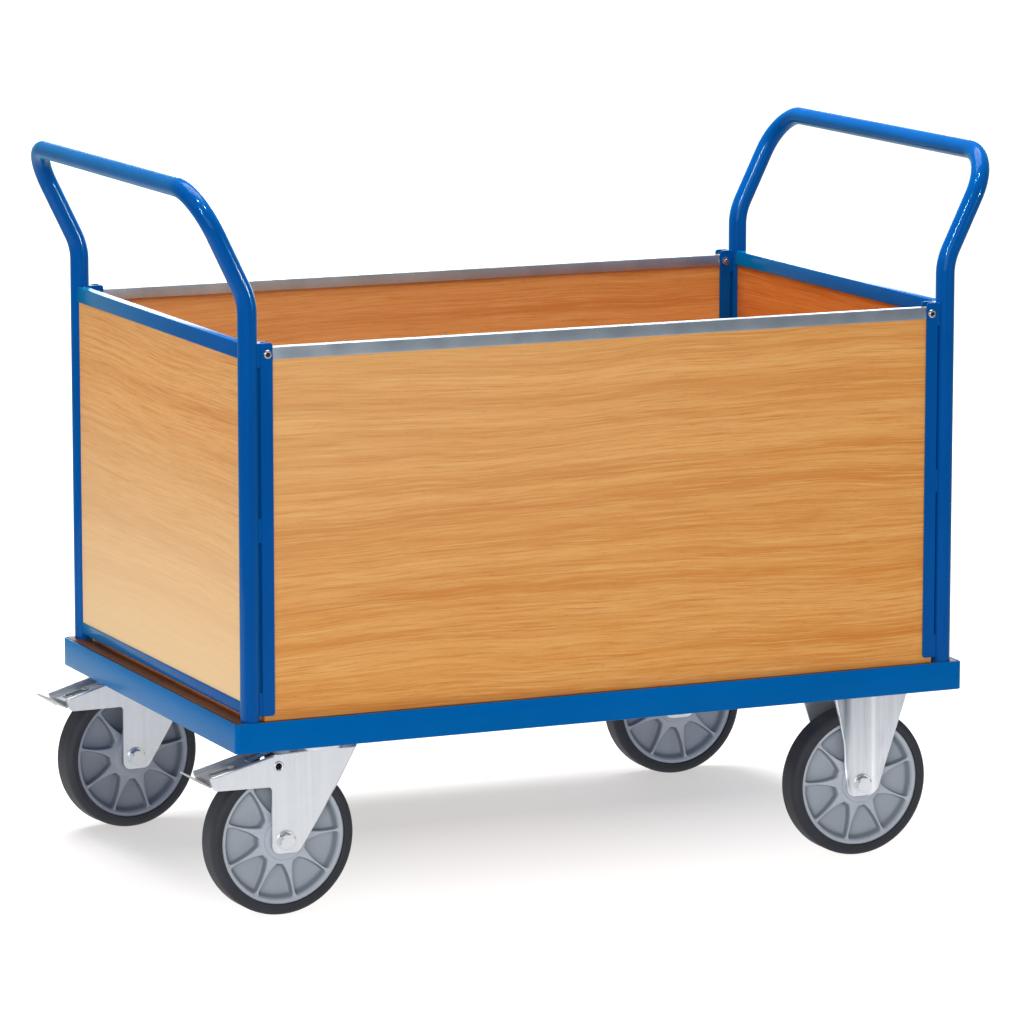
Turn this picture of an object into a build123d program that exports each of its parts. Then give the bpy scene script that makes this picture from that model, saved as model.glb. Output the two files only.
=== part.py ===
from build123d import *
import os
from math import asin, cos, radians, sin, sqrt, tan

# Four-sided platform trolley, in millimetres.
# +Z is up, +X points to the end with the fixed castors and -Y to the front long side.
# The origin lies on the floor under the middle of the platform.

# Wheels
wheel_diameter = 200.0
tyre_width = 40.0
tyre_depth = 14.5
tyre_shoulder_radius = 9.0
tyre_lip_radius = 1.0
tyre_seat_gap = 0.02
hub_rim_width = 34.0
hub_rim_depth = 8.0
hub_web_thickness = 8.0
hub_boss_diameter = 54.0
hub_boss_length = 45.0
hub_rib_count = 9
hub_rib_thickness = 4.0
hub_rib_setback = 1.5
front_left_hub_turn = 2.3
rear_left_hub_turn = 8.5
front_right_hub_turn = 17.9
rear_right_hub_turn = 18.6
axle_diameter = 12.0
axle_hexagon = 19.0
axle_head_height = 7.5
axle_nut_height = 10.0
axle_thread_end = 3.0
sleeve_wall = 4.0
roller_diameter = 5.0
roller_count = 10
roller_length = 40.0
running_gap = 0.05

# Forks of all castors
fork_inner_width = 48.0
fork_sheet = 3.0
fork_foot_drop = 17.0
fork_foot_radius = 11.0
castor_plate_thickness = 4.0
castor_plate_corner = 8.0

# Swivel castors
swivel_end_inset = 125.5
swivel_offset = 54.0
castor_side_inset = 44.0
front_castor_turn = 3.0
rear_castor_turn = 8.0
wheel_top_gap = 9.0
crown_thickness = 4.0
crown_rear_setback = 6.0
fork_foot_rear = 19.5
fork_foot_front = 17.5
nose_join_reach = 14.8
nose_join_drop = 54.5
nose_reach = 54.5
nose_depth = 15.0
nose_slope = 0.577
wheel_front_gap = 5.0
wheel_side_gap = 1.5
horn_reach = 107.0
horn_end_setback = 8.0
horn_top_drop = 23.0
horn_foot_drop = 40.0
horn_root_drop = 42.0
horn_root_radius = 5.0
horn_end_radius = 6.0
horn_top_start = 12.0
swivel_plate_length = 105.0
swivel_plate_width = 80.0
swivel_hole_spacing_x = 80.0
swivel_hole_spacing_y = 60.0
ball_diameter = 8.0
ball_count = 18
ball_circle_diameter = 56.0
race_height = 7.0
race_gap = 4.0
race_width = 14.0
ball_seat_gap = 0.1
ball_roof_gap = 0.3
king_pin_diameter = 16.0
king_pin_head_diameter = 24.0
king_pin_head_height = 4.5
king_pin_head_gap = 0.3

# Foot brakes, measured back from the axle and down from the fork crown
brake_pivot_setback = 10.0
brake_pivot_drop = 16.0
brake_rivet_diameter = 10.8
brake_rivet_bore = 8.0
brake_rivet_head_diameter = 14.0
brake_rivet_head_height = 1.2
brake_eye_radius = 9.5
brake_sheet = 2.2
brake_side_gap = 0.3
pedal_front_setback = 104.0
pedal_rear_setback = 36.0
pedal_front_drop = 27.0
pedal_slope = 0.24
pedal_lip_height = 6.5
pedal_cheek_depth = 9.0
toe_length = 20.6
toe_rise = 13.0
pedal_slot_length = 30.0
pedal_slot_width = 6.0
shoe_setback = 46.0
shoe_length = 16.0
shoe_width = 30.0
shoe_gap = 4.0
brake_spring_thickness = 1.0
brake_spring_width = 14.0
brake_spring_seat = 16.0
brake_spring_gap = 0.3
brake_spring_overlap = 6.0

# Fixed castors, leg edges measured from the axle
fixed_end_inset = 139.0
fixed_foot_rear = 22.0
fixed_foot_front = 20.0
fixed_waist_side = 26.0
fixed_waist_rise = 54.5
fixed_waist_radius = 20.0
fixed_leg_short_side = 42.0
fixed_leg_long_side = 74.0
fixed_plate_width = 76.0
fixed_hole_margin = 10.0
fixed_hole_spacing_y = 46.0
plate_edge_margin = 11.0

# Castor bolts and their washers
castor_bolt_diameter = 8.0
castor_bolt_hexagon = 13.0
castor_bolt_head_height = 5.3
castor_washer_diameter = 16.0
castor_washer_thickness = 1.6
castor_hole_gap = 0.5
thread_gap = 0.05

# Platform
platform_length = 1040.0
platform_width = 650.0
rim_height = 38.0
rim_wall = 2.5
rim_corner_radius = 7.0
ledge_width = 40.0
ledge_thickness = 3.0
member_thickness = 5.0
swivel_member_width = 150.0
fixed_member_width = 200.0
board_thickness = 15.0
board_gap = 1.5
deck_screw_diameter = 4.0
deck_screw_head_diameter = 8.0
deck_screw_head_height = 2.5
deck_screw_depth = 10.0
deck_screw_columns = 4
deck_screw_margin = 30.0

# End frames
tube_diameter = 25.0
tube_wall = 2.0
post_end_inset = 25.0
post_rim_gap = 0.2
post_board_gap = 0.6
handle_bend_rise = 54.0
handle_lean = 26.0
handle_rise = 139.0
lower_bend_radius = 80.0
upper_bend_radius = 62.0
foot_plug_height = 10.0
foot_bolt_diameter = 8.0
foot_bolt_hexagon = 13.0
foot_bolt_head_height = 5.3
foot_hole_gap = 0.2

# Walls
wall_lift = 7.0
wall_height = 477.0
rail_sheet = 1.5
top_rail_height = 20.0
bottom_rail_height = 16.0
end_panel_thickness = 12.0
side_panel_thickness = 12.0
panel_slide_gap = 0.2
panel_top_gap = 1.0
panel_post_gap = 0.5
panel_end_gap = 1.0
channel_gap = 2.0
channel_sheet = 2.0
channel_flange = 16.5
channel_corner_radius = 4.0
weld_height = 31.0
weld_recess = 1.0
weld_depth = 6.0
trim_drop = 5.0
trim_height = 16.0
trim_sheet = 1.5
trim_end_gap = 0.5
panel_screw_diameter = 6.0
panel_screw_head_diameter = 12.0
panel_screw_head_height = 3.5
panel_screw_socket = 4.0
panel_screw_socket_depth = 2.2
panel_screw_drop = 14.5
panel_screw_hole_gap = 0.2
panel_nut_hexagon = 10.0
panel_nut_height = 5.0
panel_screw_tail = 1.5

# Heights, stacked up from the floor
wheel_radius = wheel_diameter / 2
crown_bottom = wheel_diameter + wheel_top_gap
crown_top = crown_bottom + crown_thickness
plate_bottom = crown_top + 2 * race_height + race_gap
castor_height = plate_bottom + castor_plate_thickness
ledge_bottom = castor_height + member_thickness
board_bottom = ledge_bottom + ledge_thickness
deck_top = board_bottom + board_thickness
rim_bottom = deck_top - rim_height
wall_bottom = deck_top + wall_lift
wall_top = wall_bottom + wall_height
trim_top = wall_top - trim_drop
bend_z = wall_top + handle_bend_rise
bar_z = bend_z + handle_rise

# Places in plan
half_length = platform_length / 2
half_width = platform_width / 2
tube_radius = tube_diameter / 2
post_x = half_length - post_end_inset
post_y = half_width - rim_wall - post_rim_gap - tube_radius
swivel_x = -(half_length - swivel_end_inset)
fixed_x = half_length - fixed_end_inset
castor_y = half_width - castor_side_inset

# Sections that fit into each other
fork_half = fork_inner_width / 2
fork_outer_half = fork_half + fork_sheet
axle_x = -swivel_offset
sleeve_radius = axle_diameter / 2 + running_gap + sleeve_wall
roller_circle = sleeve_radius + running_gap + roller_diameter / 2
hub_bore_radius = roller_circle + roller_diameter / 2 + running_gap
hub_radius = wheel_radius - tyre_depth
rail_depth = end_panel_thickness + 2 * (panel_slide_gap + rail_sheet)
channel_groove = side_panel_thickness + 2 * panel_slide_gap
channel_half = channel_groove / 2 + channel_sheet
channel_start = tube_radius + channel_gap
channel_end = channel_start + channel_flange
screw_reach = channel_start + (channel_sheet + channel_flange) / 2
screw_z = wall_top - panel_screw_drop
fixed_hole_spacing_x = 2 * (fixed_leg_long_side + fixed_hole_margin)
fixed_plate_length = fixed_hole_spacing_x + 2 * plate_edge_margin


def block(x0, x1, y0, y1, z0, z1):
    return Pos((x0 + x1) / 2, (y0 + y1) / 2, (z0 + z1) / 2) * Box(x1 - x0, y1 - y0, z1 - z0)


def upright_rod(radius, z0, z1, x=0.0, y=0.0):
    return Pos(x, y, (z0 + z1) / 2) * Cylinder(radius, z1 - z0)


def cross_rod(radius, y0, y1, x=0.0, z=0.0):
    return Pos(x, (y0 + y1) / 2, z) * Rot(90, 0, 0) * Cylinder(radius, y1 - y0)


def upright_hexagon(across_flats, z0, z1, x=0.0, y=0.0):
    outline = RegularPolygon(across_flats / 2, 6, major_radius=False)
    return Pos(x, y, z0) * extrude(outline, z1 - z0)


def cross_hexagon(across_flats, y0, y1, x=0.0, z=0.0):
    outline = RegularPolygon(across_flats / 2, 6, major_radius=False)
    return Pos(x, y1, z) * extrude(Plane.XZ * outline, y1 - y0)


def rounded_outline(*corners):
    points = [(x, z) for x, z, radius in corners]
    radii = [radius for x, z, radius in corners]
    return make_face(FilletPolyline(*points, radius=radii, close=True))


def side_plate(outline, y0, y1):
    return Pos(0, y1, 0) * extrude(Plane.XZ * outline, y1 - y0)


def rounded_plate(length, width, corner_radius, z0, z1):
    return Pos(0, 0, z0) * extrude(RectangleRounded(length, width, corner_radius), z1 - z0)


def rectangle_corners(center_x, center_y, spacing_x, spacing_y):
    xs = (center_x - spacing_x / 2, center_x + spacing_x / 2)
    ys = (center_y - spacing_y / 2, center_y + spacing_y / 2)
    return [(x, y) for x in xs for y in ys]


def save(node, *pieces):
    solids = [solid for piece in pieces for solid in piece.solids()]
    shape = solids[0] if len(solids) == 1 else Compound(solids)
    export_step(shape, f"parts/{node}.step")


# Platform: rim with its ledge, cross members and the board

post_places = rectangle_corners(0, 0, 2 * post_x, 2 * post_y)
inner_length = platform_length - 2 * rim_wall
inner_width = platform_width - 2 * rim_wall
inner_corner_radius = rim_corner_radius - rim_wall
swivel_member_inner_x = swivel_x + swivel_member_width / 2
fixed_member_inner_x = fixed_x - fixed_member_width / 2
deck_screw_y = half_width - rim_wall - ledge_width / 2
deck_screw_start = swivel_member_inner_x + deck_screw_margin
deck_screw_step = (fixed_member_inner_x - deck_screw_margin - deck_screw_start) / (deck_screw_columns - 1)
deck_screw_places = [
    (deck_screw_start + column * deck_screw_step, side * deck_screw_y)
    for column in range(deck_screw_columns)
    for side in (-1, 1)
]
swivel_holes = []
fixed_holes = []
for side in (-1, 1):
    y = side * castor_y
    swivel_holes += rectangle_corners(swivel_x, y, swivel_hole_spacing_x, swivel_hole_spacing_y)
    fixed_holes += rectangle_corners(fixed_x, y, fixed_hole_spacing_x, fixed_hole_spacing_y)


def platform_rim():
    rim = rounded_plate(platform_length, platform_width, rim_corner_radius, rim_bottom, deck_top)
    rim -= rounded_plate(inner_length, inner_width, inner_corner_radius, rim_bottom, deck_top)
    ledge = rounded_plate(inner_length, inner_width, inner_corner_radius, ledge_bottom, board_bottom)
    bay_x = inner_length / 2 - ledge_width
    bay_y = inner_width / 2 - ledge_width
    ledge -= block(-bay_x, bay_x, -bay_y, bay_y, ledge_bottom, board_bottom)
    for x, y in post_places:
        ledge -= upright_rod(foot_bolt_diameter / 2 + foot_hole_gap, ledge_bottom, board_bottom, x, y)
    for x, y in deck_screw_places:
        ledge -= upright_rod(deck_screw_diameter / 2 + foot_hole_gap, ledge_bottom, board_bottom, x, y)
    return rim + ledge


def cross_member(center_x, width, holes):
    reach = inner_width / 2
    member = block(center_x - width / 2, center_x + width / 2, -reach, reach, castor_height, ledge_bottom)
    for x, y in holes:
        member -= upright_rod(castor_bolt_diameter / 2 + thread_gap, castor_height, ledge_bottom, x, y)
    return member


def deck_board():
    board_length = inner_length - 2 * board_gap
    board_width = inner_width - 2 * board_gap
    board = rounded_plate(board_length, board_width, inner_corner_radius, board_bottom, deck_top)
    for x, y in post_places:
        board -= upright_rod(tube_radius + post_board_gap, board_bottom, deck_top, x, y)
    for x, y in deck_screw_places:
        screw_top = board_bottom + deck_screw_depth
        board -= upright_rod(deck_screw_diameter / 2 + thread_gap, board_bottom, screw_top, x, y)
    return board


def deck_screw(x, y):
    head_bottom = ledge_bottom - deck_screw_head_height
    head = upright_rod(deck_screw_head_diameter / 2, head_bottom, ledge_bottom, x, y)
    return head + upright_rod(deck_screw_diameter / 2, ledge_bottom, board_bottom + deck_screw_depth, x, y)


# End frames: bent tube, rails and panel


def handle_tube(side):
    foot_x = side * post_x
    bar_x = side * (post_x + handle_rise * tan(radians(handle_lean)))
    route = [
        (foot_x, -post_y, board_bottom),
        (foot_x, -post_y, bend_z),
        (bar_x, -post_y, bar_z),
        (bar_x, post_y, bar_z),
        (foot_x, post_y, bend_z),
        (foot_x, post_y, board_bottom),
    ]
    bends = [lower_bend_radius, upper_bend_radius, upper_bend_radius, lower_bend_radius]
    path = FilletPolyline(*route, radius=bends)
    section = Circle(tube_radius) - Circle(tube_radius - tube_wall)
    tube = sweep(Pos(*route[0]) * section, path=path)
    for y in (-post_y, post_y):
        plug_top = board_bottom + foot_plug_height
        plug = upright_rod(tube_radius - tube_wall, board_bottom, plug_top, foot_x, y)
        tube += plug - upright_rod(foot_bolt_diameter / 2 + thread_gap, board_bottom, plug_top, foot_x, y)
    return tube


def foot_bolt(x, y):
    head = upright_hexagon(foot_bolt_hexagon, ledge_bottom - foot_bolt_head_height, ledge_bottom, x, y)
    return head + upright_rod(foot_bolt_diameter / 2, ledge_bottom, board_bottom + foot_plug_height, x, y)


def end_rail(side, z0, z1, groove_z0, groove_z1):
    center_x = side * post_x
    reach = post_y - sqrt(tube_radius**2 - (rail_depth / 2) ** 2)
    groove = end_panel_thickness / 2 + panel_slide_gap
    rail = block(center_x - rail_depth / 2, center_x + rail_depth / 2, -reach, reach, z0, z1)
    rail -= block(center_x - groove, center_x + groove, -reach, reach, groove_z0, groove_z1)
    for y in (-post_y, post_y):
        rail -= upright_rod(tube_radius, z0, z1, center_x, y)
    return rail


def end_top_rail(side):
    rail_bottom = wall_top - top_rail_height
    return end_rail(side, rail_bottom, wall_top, rail_bottom, wall_top - rail_sheet)


def end_bottom_rail(side):
    rail_top = wall_bottom + bottom_rail_height
    return end_rail(side, wall_bottom, rail_top, wall_bottom + rail_sheet, rail_top)


def end_panel(side):
    center_x = side * post_x
    reach = post_y - tube_radius - panel_post_gap
    half = end_panel_thickness / 2
    return block(
        center_x - half,
        center_x + half,
        -reach,
        reach,
        wall_bottom + rail_sheet,
        wall_top - rail_sheet - panel_top_gap,
    )


# Long sides: corner channels, panels, capping trims and screws


def corner_channel(side_x, side_y):
    outline = rounded_outline(
        (channel_start, wall_bottom, 0),
        (channel_end, wall_bottom, channel_corner_radius),
        (channel_end, wall_top, channel_corner_radius),
        (channel_start, wall_top, 0),
    )
    channel = side_plate(outline, -channel_half, channel_half)
    groove_start = channel_start + channel_sheet
    groove_half = channel_groove / 2
    channel -= block(groove_start, channel_end, -groove_half, groove_half, wall_bottom, wall_top)
    weld_half = channel_half - weld_recess
    weld_step = (wall_height - weld_height) / 2
    for row in range(3):
        z0 = wall_bottom + row * weld_step
        weld = block(channel_start - weld_depth, channel_start, -weld_half, weld_half, z0, z0 + weld_height)
        channel += weld - upright_rod(tube_radius, z0, z0 + weld_height)
    hole_radius = panel_screw_diameter / 2 + panel_screw_hole_gap
    channel -= cross_rod(hole_radius, -channel_half, channel_half, screw_reach, screw_z)
    turn = 180 if side_x > 0 else 0
    return Pos(side_x * post_x, side_y * post_y, 0) * Rot(0, 0, turn) * channel


def side_panel(side):
    reach = post_x - channel_start - channel_sheet - panel_end_gap
    half = side_panel_thickness / 2
    center_y = side * post_y
    panel = block(-reach, reach, center_y - half, center_y + half, deck_top, trim_top - trim_sheet)
    hole_radius = panel_screw_diameter / 2 + panel_screw_hole_gap
    for x in (-post_x + screw_reach, post_x - screw_reach):
        panel -= cross_rod(hole_radius, center_y - half, center_y + half, x, screw_z)
    return panel


def top_trim(side):
    reach = post_x - channel_end - trim_end_gap
    groove = side_panel_thickness / 2 + panel_slide_gap
    half = groove + trim_sheet
    center_y = side * post_y
    trim_bottom = trim_top - trim_height
    groove_top = trim_top - trim_sheet
    trim = block(-reach, reach, center_y - half, center_y + half, trim_bottom, trim_top)
    return trim - block(-reach, reach, center_y - groove, center_y + groove, trim_bottom, groove_top)


def panel_fixings():
    head_top = channel_half + panel_screw_head_height
    tail = channel_half + panel_nut_height + panel_screw_tail
    screw = cross_rod(panel_screw_diameter / 2, -tail, channel_half)
    screw += cross_rod(panel_screw_head_diameter / 2, channel_half, head_top)
    screw -= cross_hexagon(panel_screw_socket, head_top - panel_screw_socket_depth, head_top)
    nut = cross_hexagon(panel_nut_hexagon, -channel_half - panel_nut_height, -channel_half)
    nut -= cross_rod(panel_screw_diameter / 2 + thread_gap, -channel_half - panel_nut_height, -channel_half)
    places = [
        Pos(side_x * (post_x - screw_reach), side_y * post_y, screw_z) * Rot(0, 0, 0 if side_y > 0 else 180)
        for side_x in (-1, 1)
        for side_y in (-1, 1)
    ]
    return [place * screw for place in places], [place * nut for place in places]


# Wheels, built about their own centre with the axle along Y


def wheel_hub():
    half_rim = hub_rim_width / 2
    half_web = hub_web_thickness / 2
    half_boss = hub_boss_length / 2
    boss_radius = hub_boss_diameter / 2
    rim_inner = hub_radius - hub_rim_depth
    section = Polyline(
        (hub_bore_radius, -half_boss),
        (boss_radius, -half_boss),
        (boss_radius, -half_web),
        (rim_inner, -half_web),
        (rim_inner, -half_rim),
        (hub_radius, -half_rim),
        (hub_radius, half_rim),
        (rim_inner, half_rim),
        (rim_inner, half_web),
        (boss_radius, half_web),
        (boss_radius, half_boss),
        (hub_bore_radius, half_boss),
        close=True,
    )
    hub = revolve(make_face(section), Axis.Y)
    rib_half_height = half_rim - hub_rib_setback
    rib_half = hub_rib_thickness / 2
    rib_start = (hub_bore_radius + boss_radius) / 2
    rib_end = hub_radius - hub_rim_depth / 2
    rib = block(rib_start, rib_end, -rib_half_height, rib_half_height, -rib_half, rib_half)
    ribs = [Rot(0, index * 360 / hub_rib_count, 0) * rib for index in range(hub_rib_count)]
    return hub + ribs


def wheel_tyre():
    half = tyre_width / 2
    inner = hub_radius + tyre_seat_gap
    section = rounded_outline(
        (inner, -half, tyre_lip_radius),
        (wheel_radius, -half, tyre_shoulder_radius),
        (wheel_radius, half, tyre_shoulder_radius),
        (inner, half, tyre_lip_radius),
    )
    return revolve(section, Axis.Y)


def wheel_rollers():
    roller = cross_rod(roller_diameter / 2, -roller_length / 2, roller_length / 2, roller_circle)
    return [Rot(0, index * 360 / roller_count, 0) * roller for index in range(roller_count)]


def axle_bolt_and_nut():
    nut_end = fork_outer_half + axle_nut_height
    bolt = cross_rod(axle_diameter / 2, -fork_outer_half, nut_end + axle_thread_end)
    bolt += cross_hexagon(axle_hexagon, -fork_outer_half - axle_head_height, -fork_outer_half)
    nut = cross_hexagon(axle_hexagon, fork_outer_half, nut_end)
    nut -= cross_rod(axle_diameter / 2 + thread_gap, fork_outer_half, nut_end)
    return [bolt, nut]


def axle_sleeve():
    sleeve = cross_rod(sleeve_radius, -fork_half, fork_half)
    return sleeve - cross_rod(axle_diameter / 2 + running_gap, -fork_half, fork_half)


def castor_plate(length, width, hole_spacing_x, hole_spacing_y):
    plate = rounded_plate(length, width, castor_plate_corner, plate_bottom, castor_height)
    hole_radius = castor_bolt_diameter / 2 + castor_hole_gap
    for x, y in rectangle_corners(0, 0, hole_spacing_x, hole_spacing_y):
        plate -= upright_rod(hole_radius, plate_bottom, castor_height, x, y)
    return plate


# Swivel castor, built with its turning axis on Z and its wheel trailing towards -X

fork_foot_bottom = wheel_radius - fork_foot_drop
pivot_x = axle_x - brake_pivot_setback
pivot_z = crown_top - brake_pivot_drop
ball_center_z = crown_top + race_height + race_gap / 2
ball_circle = ball_circle_diameter / 2
race_inner = ball_circle - race_width / 2
race_outer = ball_circle + race_width / 2


def leaning_nose(inset, top):
    # A plan outline with a round front, pushed up along the slope of the fork's nose.
    rear = -(swivel_offset + horn_reach) * 2
    front = nose_reach - nose_depth - nose_slope * crown_top
    half = fork_outer_half - inset
    outline = Pos((rear + front) / 2, 0) * Rectangle(front - rear, 2 * half)
    outline += Pos(front, 0) * Ellipse(nose_depth - inset, half)
    direction = Vector(nose_slope, 0, 1)
    return extrude(outline, amount=top * direction.length, dir=direction.normalized())


def swivel_fork():
    foot_rear = axle_x - fork_foot_rear
    foot_front = axle_x + fork_foot_front
    nose_front = nose_reach + fork_sheet
    outline = rounded_outline(
        (foot_rear, fork_foot_bottom, fork_foot_radius),
        (foot_front, fork_foot_bottom, fork_foot_radius),
        (nose_join_reach, crown_top - nose_join_drop, 0),
        (nose_front, crown_top - nose_join_drop, 0),
        (nose_front, crown_top, 0),
        (axle_x - horn_top_start, crown_top, 0),
        (axle_x - horn_reach, crown_top - horn_top_drop, horn_end_radius / 2),
        (axle_x - horn_reach + horn_end_setback, crown_top - horn_foot_drop, horn_end_radius),
        (foot_rear, crown_top - horn_root_drop, horn_root_radius),
    )
    fork = side_plate(outline, -fork_outer_half, fork_outer_half) & leaning_nose(0, crown_top)
    fork -= leaning_nose(fork_sheet, crown_bottom)
    guard_half = tyre_width / 2 + wheel_side_gap
    fork -= cross_rod(wheel_radius + wheel_front_gap, -guard_half, guard_half, axle_x, wheel_radius)
    horn_gap_front = axle_x - crown_rear_setback
    fork -= block(2 * horn_gap_front - horn_reach, horn_gap_front, -fork_half, fork_half, 0, crown_top)
    race = upright_rod(race_outer, crown_top, crown_top + race_height)
    race -= upright_rod(race_inner, crown_top, crown_top + race_height)
    race -= Pos(0, 0, ball_center_z) * Torus(ball_circle, ball_diameter / 2 + ball_seat_gap)
    fork += race
    fork -= upright_rod(king_pin_diameter / 2 + running_gap, crown_bottom, crown_top)
    axle_hole = axle_diameter / 2 + running_gap
    fork -= cross_rod(axle_hole, -fork_outer_half, fork_outer_half, axle_x, wheel_radius)
    return fork - cross_rod(brake_rivet_diameter / 2, -fork_outer_half, fork_outer_half, pivot_x, pivot_z)


def swivel_plate():
    spacing = (swivel_hole_spacing_x, swivel_hole_spacing_y)
    plate = castor_plate(swivel_plate_length, swivel_plate_width, *spacing)
    race = upright_rod(race_outer, plate_bottom - race_height, plate_bottom)
    race -= upright_rod(race_inner, plate_bottom - race_height, plate_bottom)
    race -= Pos(0, 0, ball_center_z) * Torus(ball_circle, ball_diameter / 2 + ball_roof_gap)
    return plate + race - upright_rod(king_pin_diameter / 2, plate_bottom, castor_height)


def swivel_balls():
    ball = Pos(ball_circle, 0, ball_center_z) * Sphere(ball_diameter / 2)
    return [Rot(0, 0, index * 360 / ball_count) * ball for index in range(ball_count)]


def king_pin():
    head_top = crown_bottom - king_pin_head_gap
    pin = upright_rod(king_pin_diameter / 2, head_top - king_pin_head_height, castor_height)
    return pin + upright_rod(king_pin_head_diameter / 2, head_top - king_pin_head_height, head_top)


# Foot brake of a swivel castor, in the same place as the fork

pedal_half = fork_half - brake_side_gap
pedal_front = axle_x - pedal_front_setback
pedal_rear = axle_x - pedal_rear_setback
pedal_front_z = crown_top - pedal_front_drop


def pedal_top(x):
    return pedal_front_z + (x - pedal_front) * pedal_slope


def brake_pedal():
    lip_z = pedal_front_z - pedal_lip_height
    bend = brake_sheet
    tread = rounded_outline(
        (pedal_front - toe_length, lip_z + toe_rise, 0),
        (pedal_front - toe_length, lip_z + toe_rise - bend, 0),
        (pedal_front, lip_z - bend, 0),
        (pedal_front + bend, lip_z - bend, 0),
        (pedal_front + bend, pedal_top(pedal_front + bend) - bend, 0),
        (pedal_rear, pedal_top(pedal_rear) - bend, 0),
        (pedal_rear, pedal_top(pedal_rear), 0),
        (pedal_front, pedal_front_z, 0),
        (pedal_front, lip_z, 0),
    )
    pedal = side_plate(tread, -pedal_half, pedal_half)
    slot_center = pedal_front + (pedal_rear - pedal_front) / 2 - pedal_slot_length / 4
    slot = Pos(slot_center, 0, 0) * extrude(SlotOverall(pedal_slot_length, pedal_slot_width), crown_top)
    pedal -= slot
    cheek = rounded_outline(
        (pedal_front, lip_z, 0),
        (pivot_x, pivot_z - brake_eye_radius, 0),
        (pivot_x, pivot_z + brake_eye_radius, 0),
        (pedal_rear, pedal_top(pedal_rear), 0),
        (pedal_front, pedal_front_z, 0),
    )
    eye = cross_rod(brake_eye_radius, -pedal_half, pedal_half, pivot_x, pivot_z)
    cheeks = side_plate(cheek, -pedal_half, pedal_half) + eye
    inside = pedal_half - brake_sheet
    cheeks -= block(pedal_front - toe_length, crown_top, -inside, inside, 0, 2 * crown_top)
    pedal += cheeks
    eye_hole = brake_rivet_diameter / 2 + running_gap
    return pedal - cross_rod(eye_hole, -pedal_half, pedal_half, pivot_x, pivot_z)


def brake_rivets():
    inner = pedal_half - brake_sheet
    head_end = fork_outer_half + brake_rivet_head_height
    rivet = cross_rod(brake_rivet_diameter / 2, inner, head_end)
    rivet += cross_rod(brake_rivet_head_diameter / 2, fork_outer_half, head_end)
    rivet -= cross_rod(brake_rivet_bore / 2, inner, head_end)
    rivet = Pos(pivot_x, 0, pivot_z) * rivet
    return [rivet, mirror(rivet, Plane.XZ)]


def brake_shoe():
    # A wedge between the pedal and a flat that lies shoe_gap off the tyre.
    lean = asin(shoe_setback / wheel_radius)
    reach = wheel_radius + shoe_gap
    seat_x = axle_x - reach * sin(lean)
    seat_z = wheel_radius + reach * cos(lean)
    steps = (-shoe_length / 2, shoe_length / 2)
    ends = [(seat_x + step * cos(lean), seat_z + step * sin(lean)) for step in steps]
    roof = [(x, pedal_top(x) - brake_sheet) for x, z in reversed(ends)]
    outline = rounded_outline(*[(x, z, 0) for x, z in ends + roof])
    return side_plate(outline, -shoe_width / 2, shoe_width / 2)


def brake_spring():
    seat_rear = axle_x - crown_rear_setback
    tip_x = pedal_rear - brake_spring_overlap
    tip_z = pedal_top(tip_x) + brake_spring_gap
    outline = rounded_outline(
        (seat_rear + brake_spring_seat, crown_top, 0),
        (seat_rear, crown_top, 0),
        (tip_x, tip_z, 0),
        (tip_x, tip_z + brake_spring_thickness, 0),
        (seat_rear, crown_top + brake_spring_thickness, 0),
        (seat_rear + brake_spring_seat, crown_top + brake_spring_thickness, 0),
    )
    return side_plate(outline, -brake_spring_width / 2, brake_spring_width / 2)


# Fixed castor, built with its axle over the origin


def fixed_fork():
    foot_bottom = wheel_radius - fork_foot_drop
    outline = rounded_outline(
        (-fixed_foot_rear, foot_bottom, fork_foot_radius),
        (fixed_foot_front, foot_bottom, fork_foot_radius),
        (fixed_leg_long_side, plate_bottom, 0),
        (-fixed_leg_short_side, plate_bottom, 0),
        (-fixed_waist_side, wheel_radius + fixed_waist_rise, fixed_waist_radius),
    )
    leg = side_plate(outline, -fork_outer_half, -fork_half)
    leg -= cross_rod(axle_diameter / 2 + running_gap, -fork_outer_half, -fork_half, 0, wheel_radius)
    plate = castor_plate(fixed_plate_length, fixed_plate_width, fixed_hole_spacing_x, fixed_hole_spacing_y)
    return plate + leg + Rot(0, 0, 180) * leg


def castor_bolt(x, y):
    head_top = plate_bottom - castor_washer_thickness
    bolt = upright_hexagon(castor_bolt_hexagon, head_top - castor_bolt_head_height, head_top, x, y)
    return bolt + upright_rod(castor_bolt_diameter / 2, head_top, ledge_bottom, x, y)


def castor_washer(x, y):
    z0 = plate_bottom - castor_washer_thickness
    washer = upright_rod(castor_washer_diameter / 2, z0, plate_bottom, x, y)
    return washer - upright_rod(castor_bolt_diameter / 2 + thread_gap, z0, plate_bottom, x, y)


# Write every piece

os.makedirs("parts", exist_ok=True)

save("platform_rim", platform_rim())
save("swivel_end_member", cross_member(swivel_x, swivel_member_width, swivel_holes))
save("fixed_end_member", cross_member(fixed_x, fixed_member_width, fixed_holes))
save("deck_board", deck_board())
save("deck_screws", *[deck_screw(x, y) for x, y in deck_screw_places])
save("post_foot_bolts", *[foot_bolt(x, y) for x, y in post_places])

for name, side in (("left", -1), ("right", 1)):
    save(f"{name}_handle_tube", handle_tube(side))
    save(f"{name}_top_rail", end_top_rail(side))
    save(f"{name}_bottom_rail", end_bottom_rail(side))
    save(f"{name}_end_panel", end_panel(side))
    save(f"front_{name}_channel", corner_channel(side, -1))
    save(f"rear_{name}_channel", corner_channel(side, 1))

for name, side in (("front", -1), ("rear", 1)):
    save(f"{name}_side_panel", side_panel(side))
    save(f"{name}_top_trim", top_trim(side))

screws, nuts = panel_fixings()
save("panel_screws", *screws, *nuts)

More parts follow.
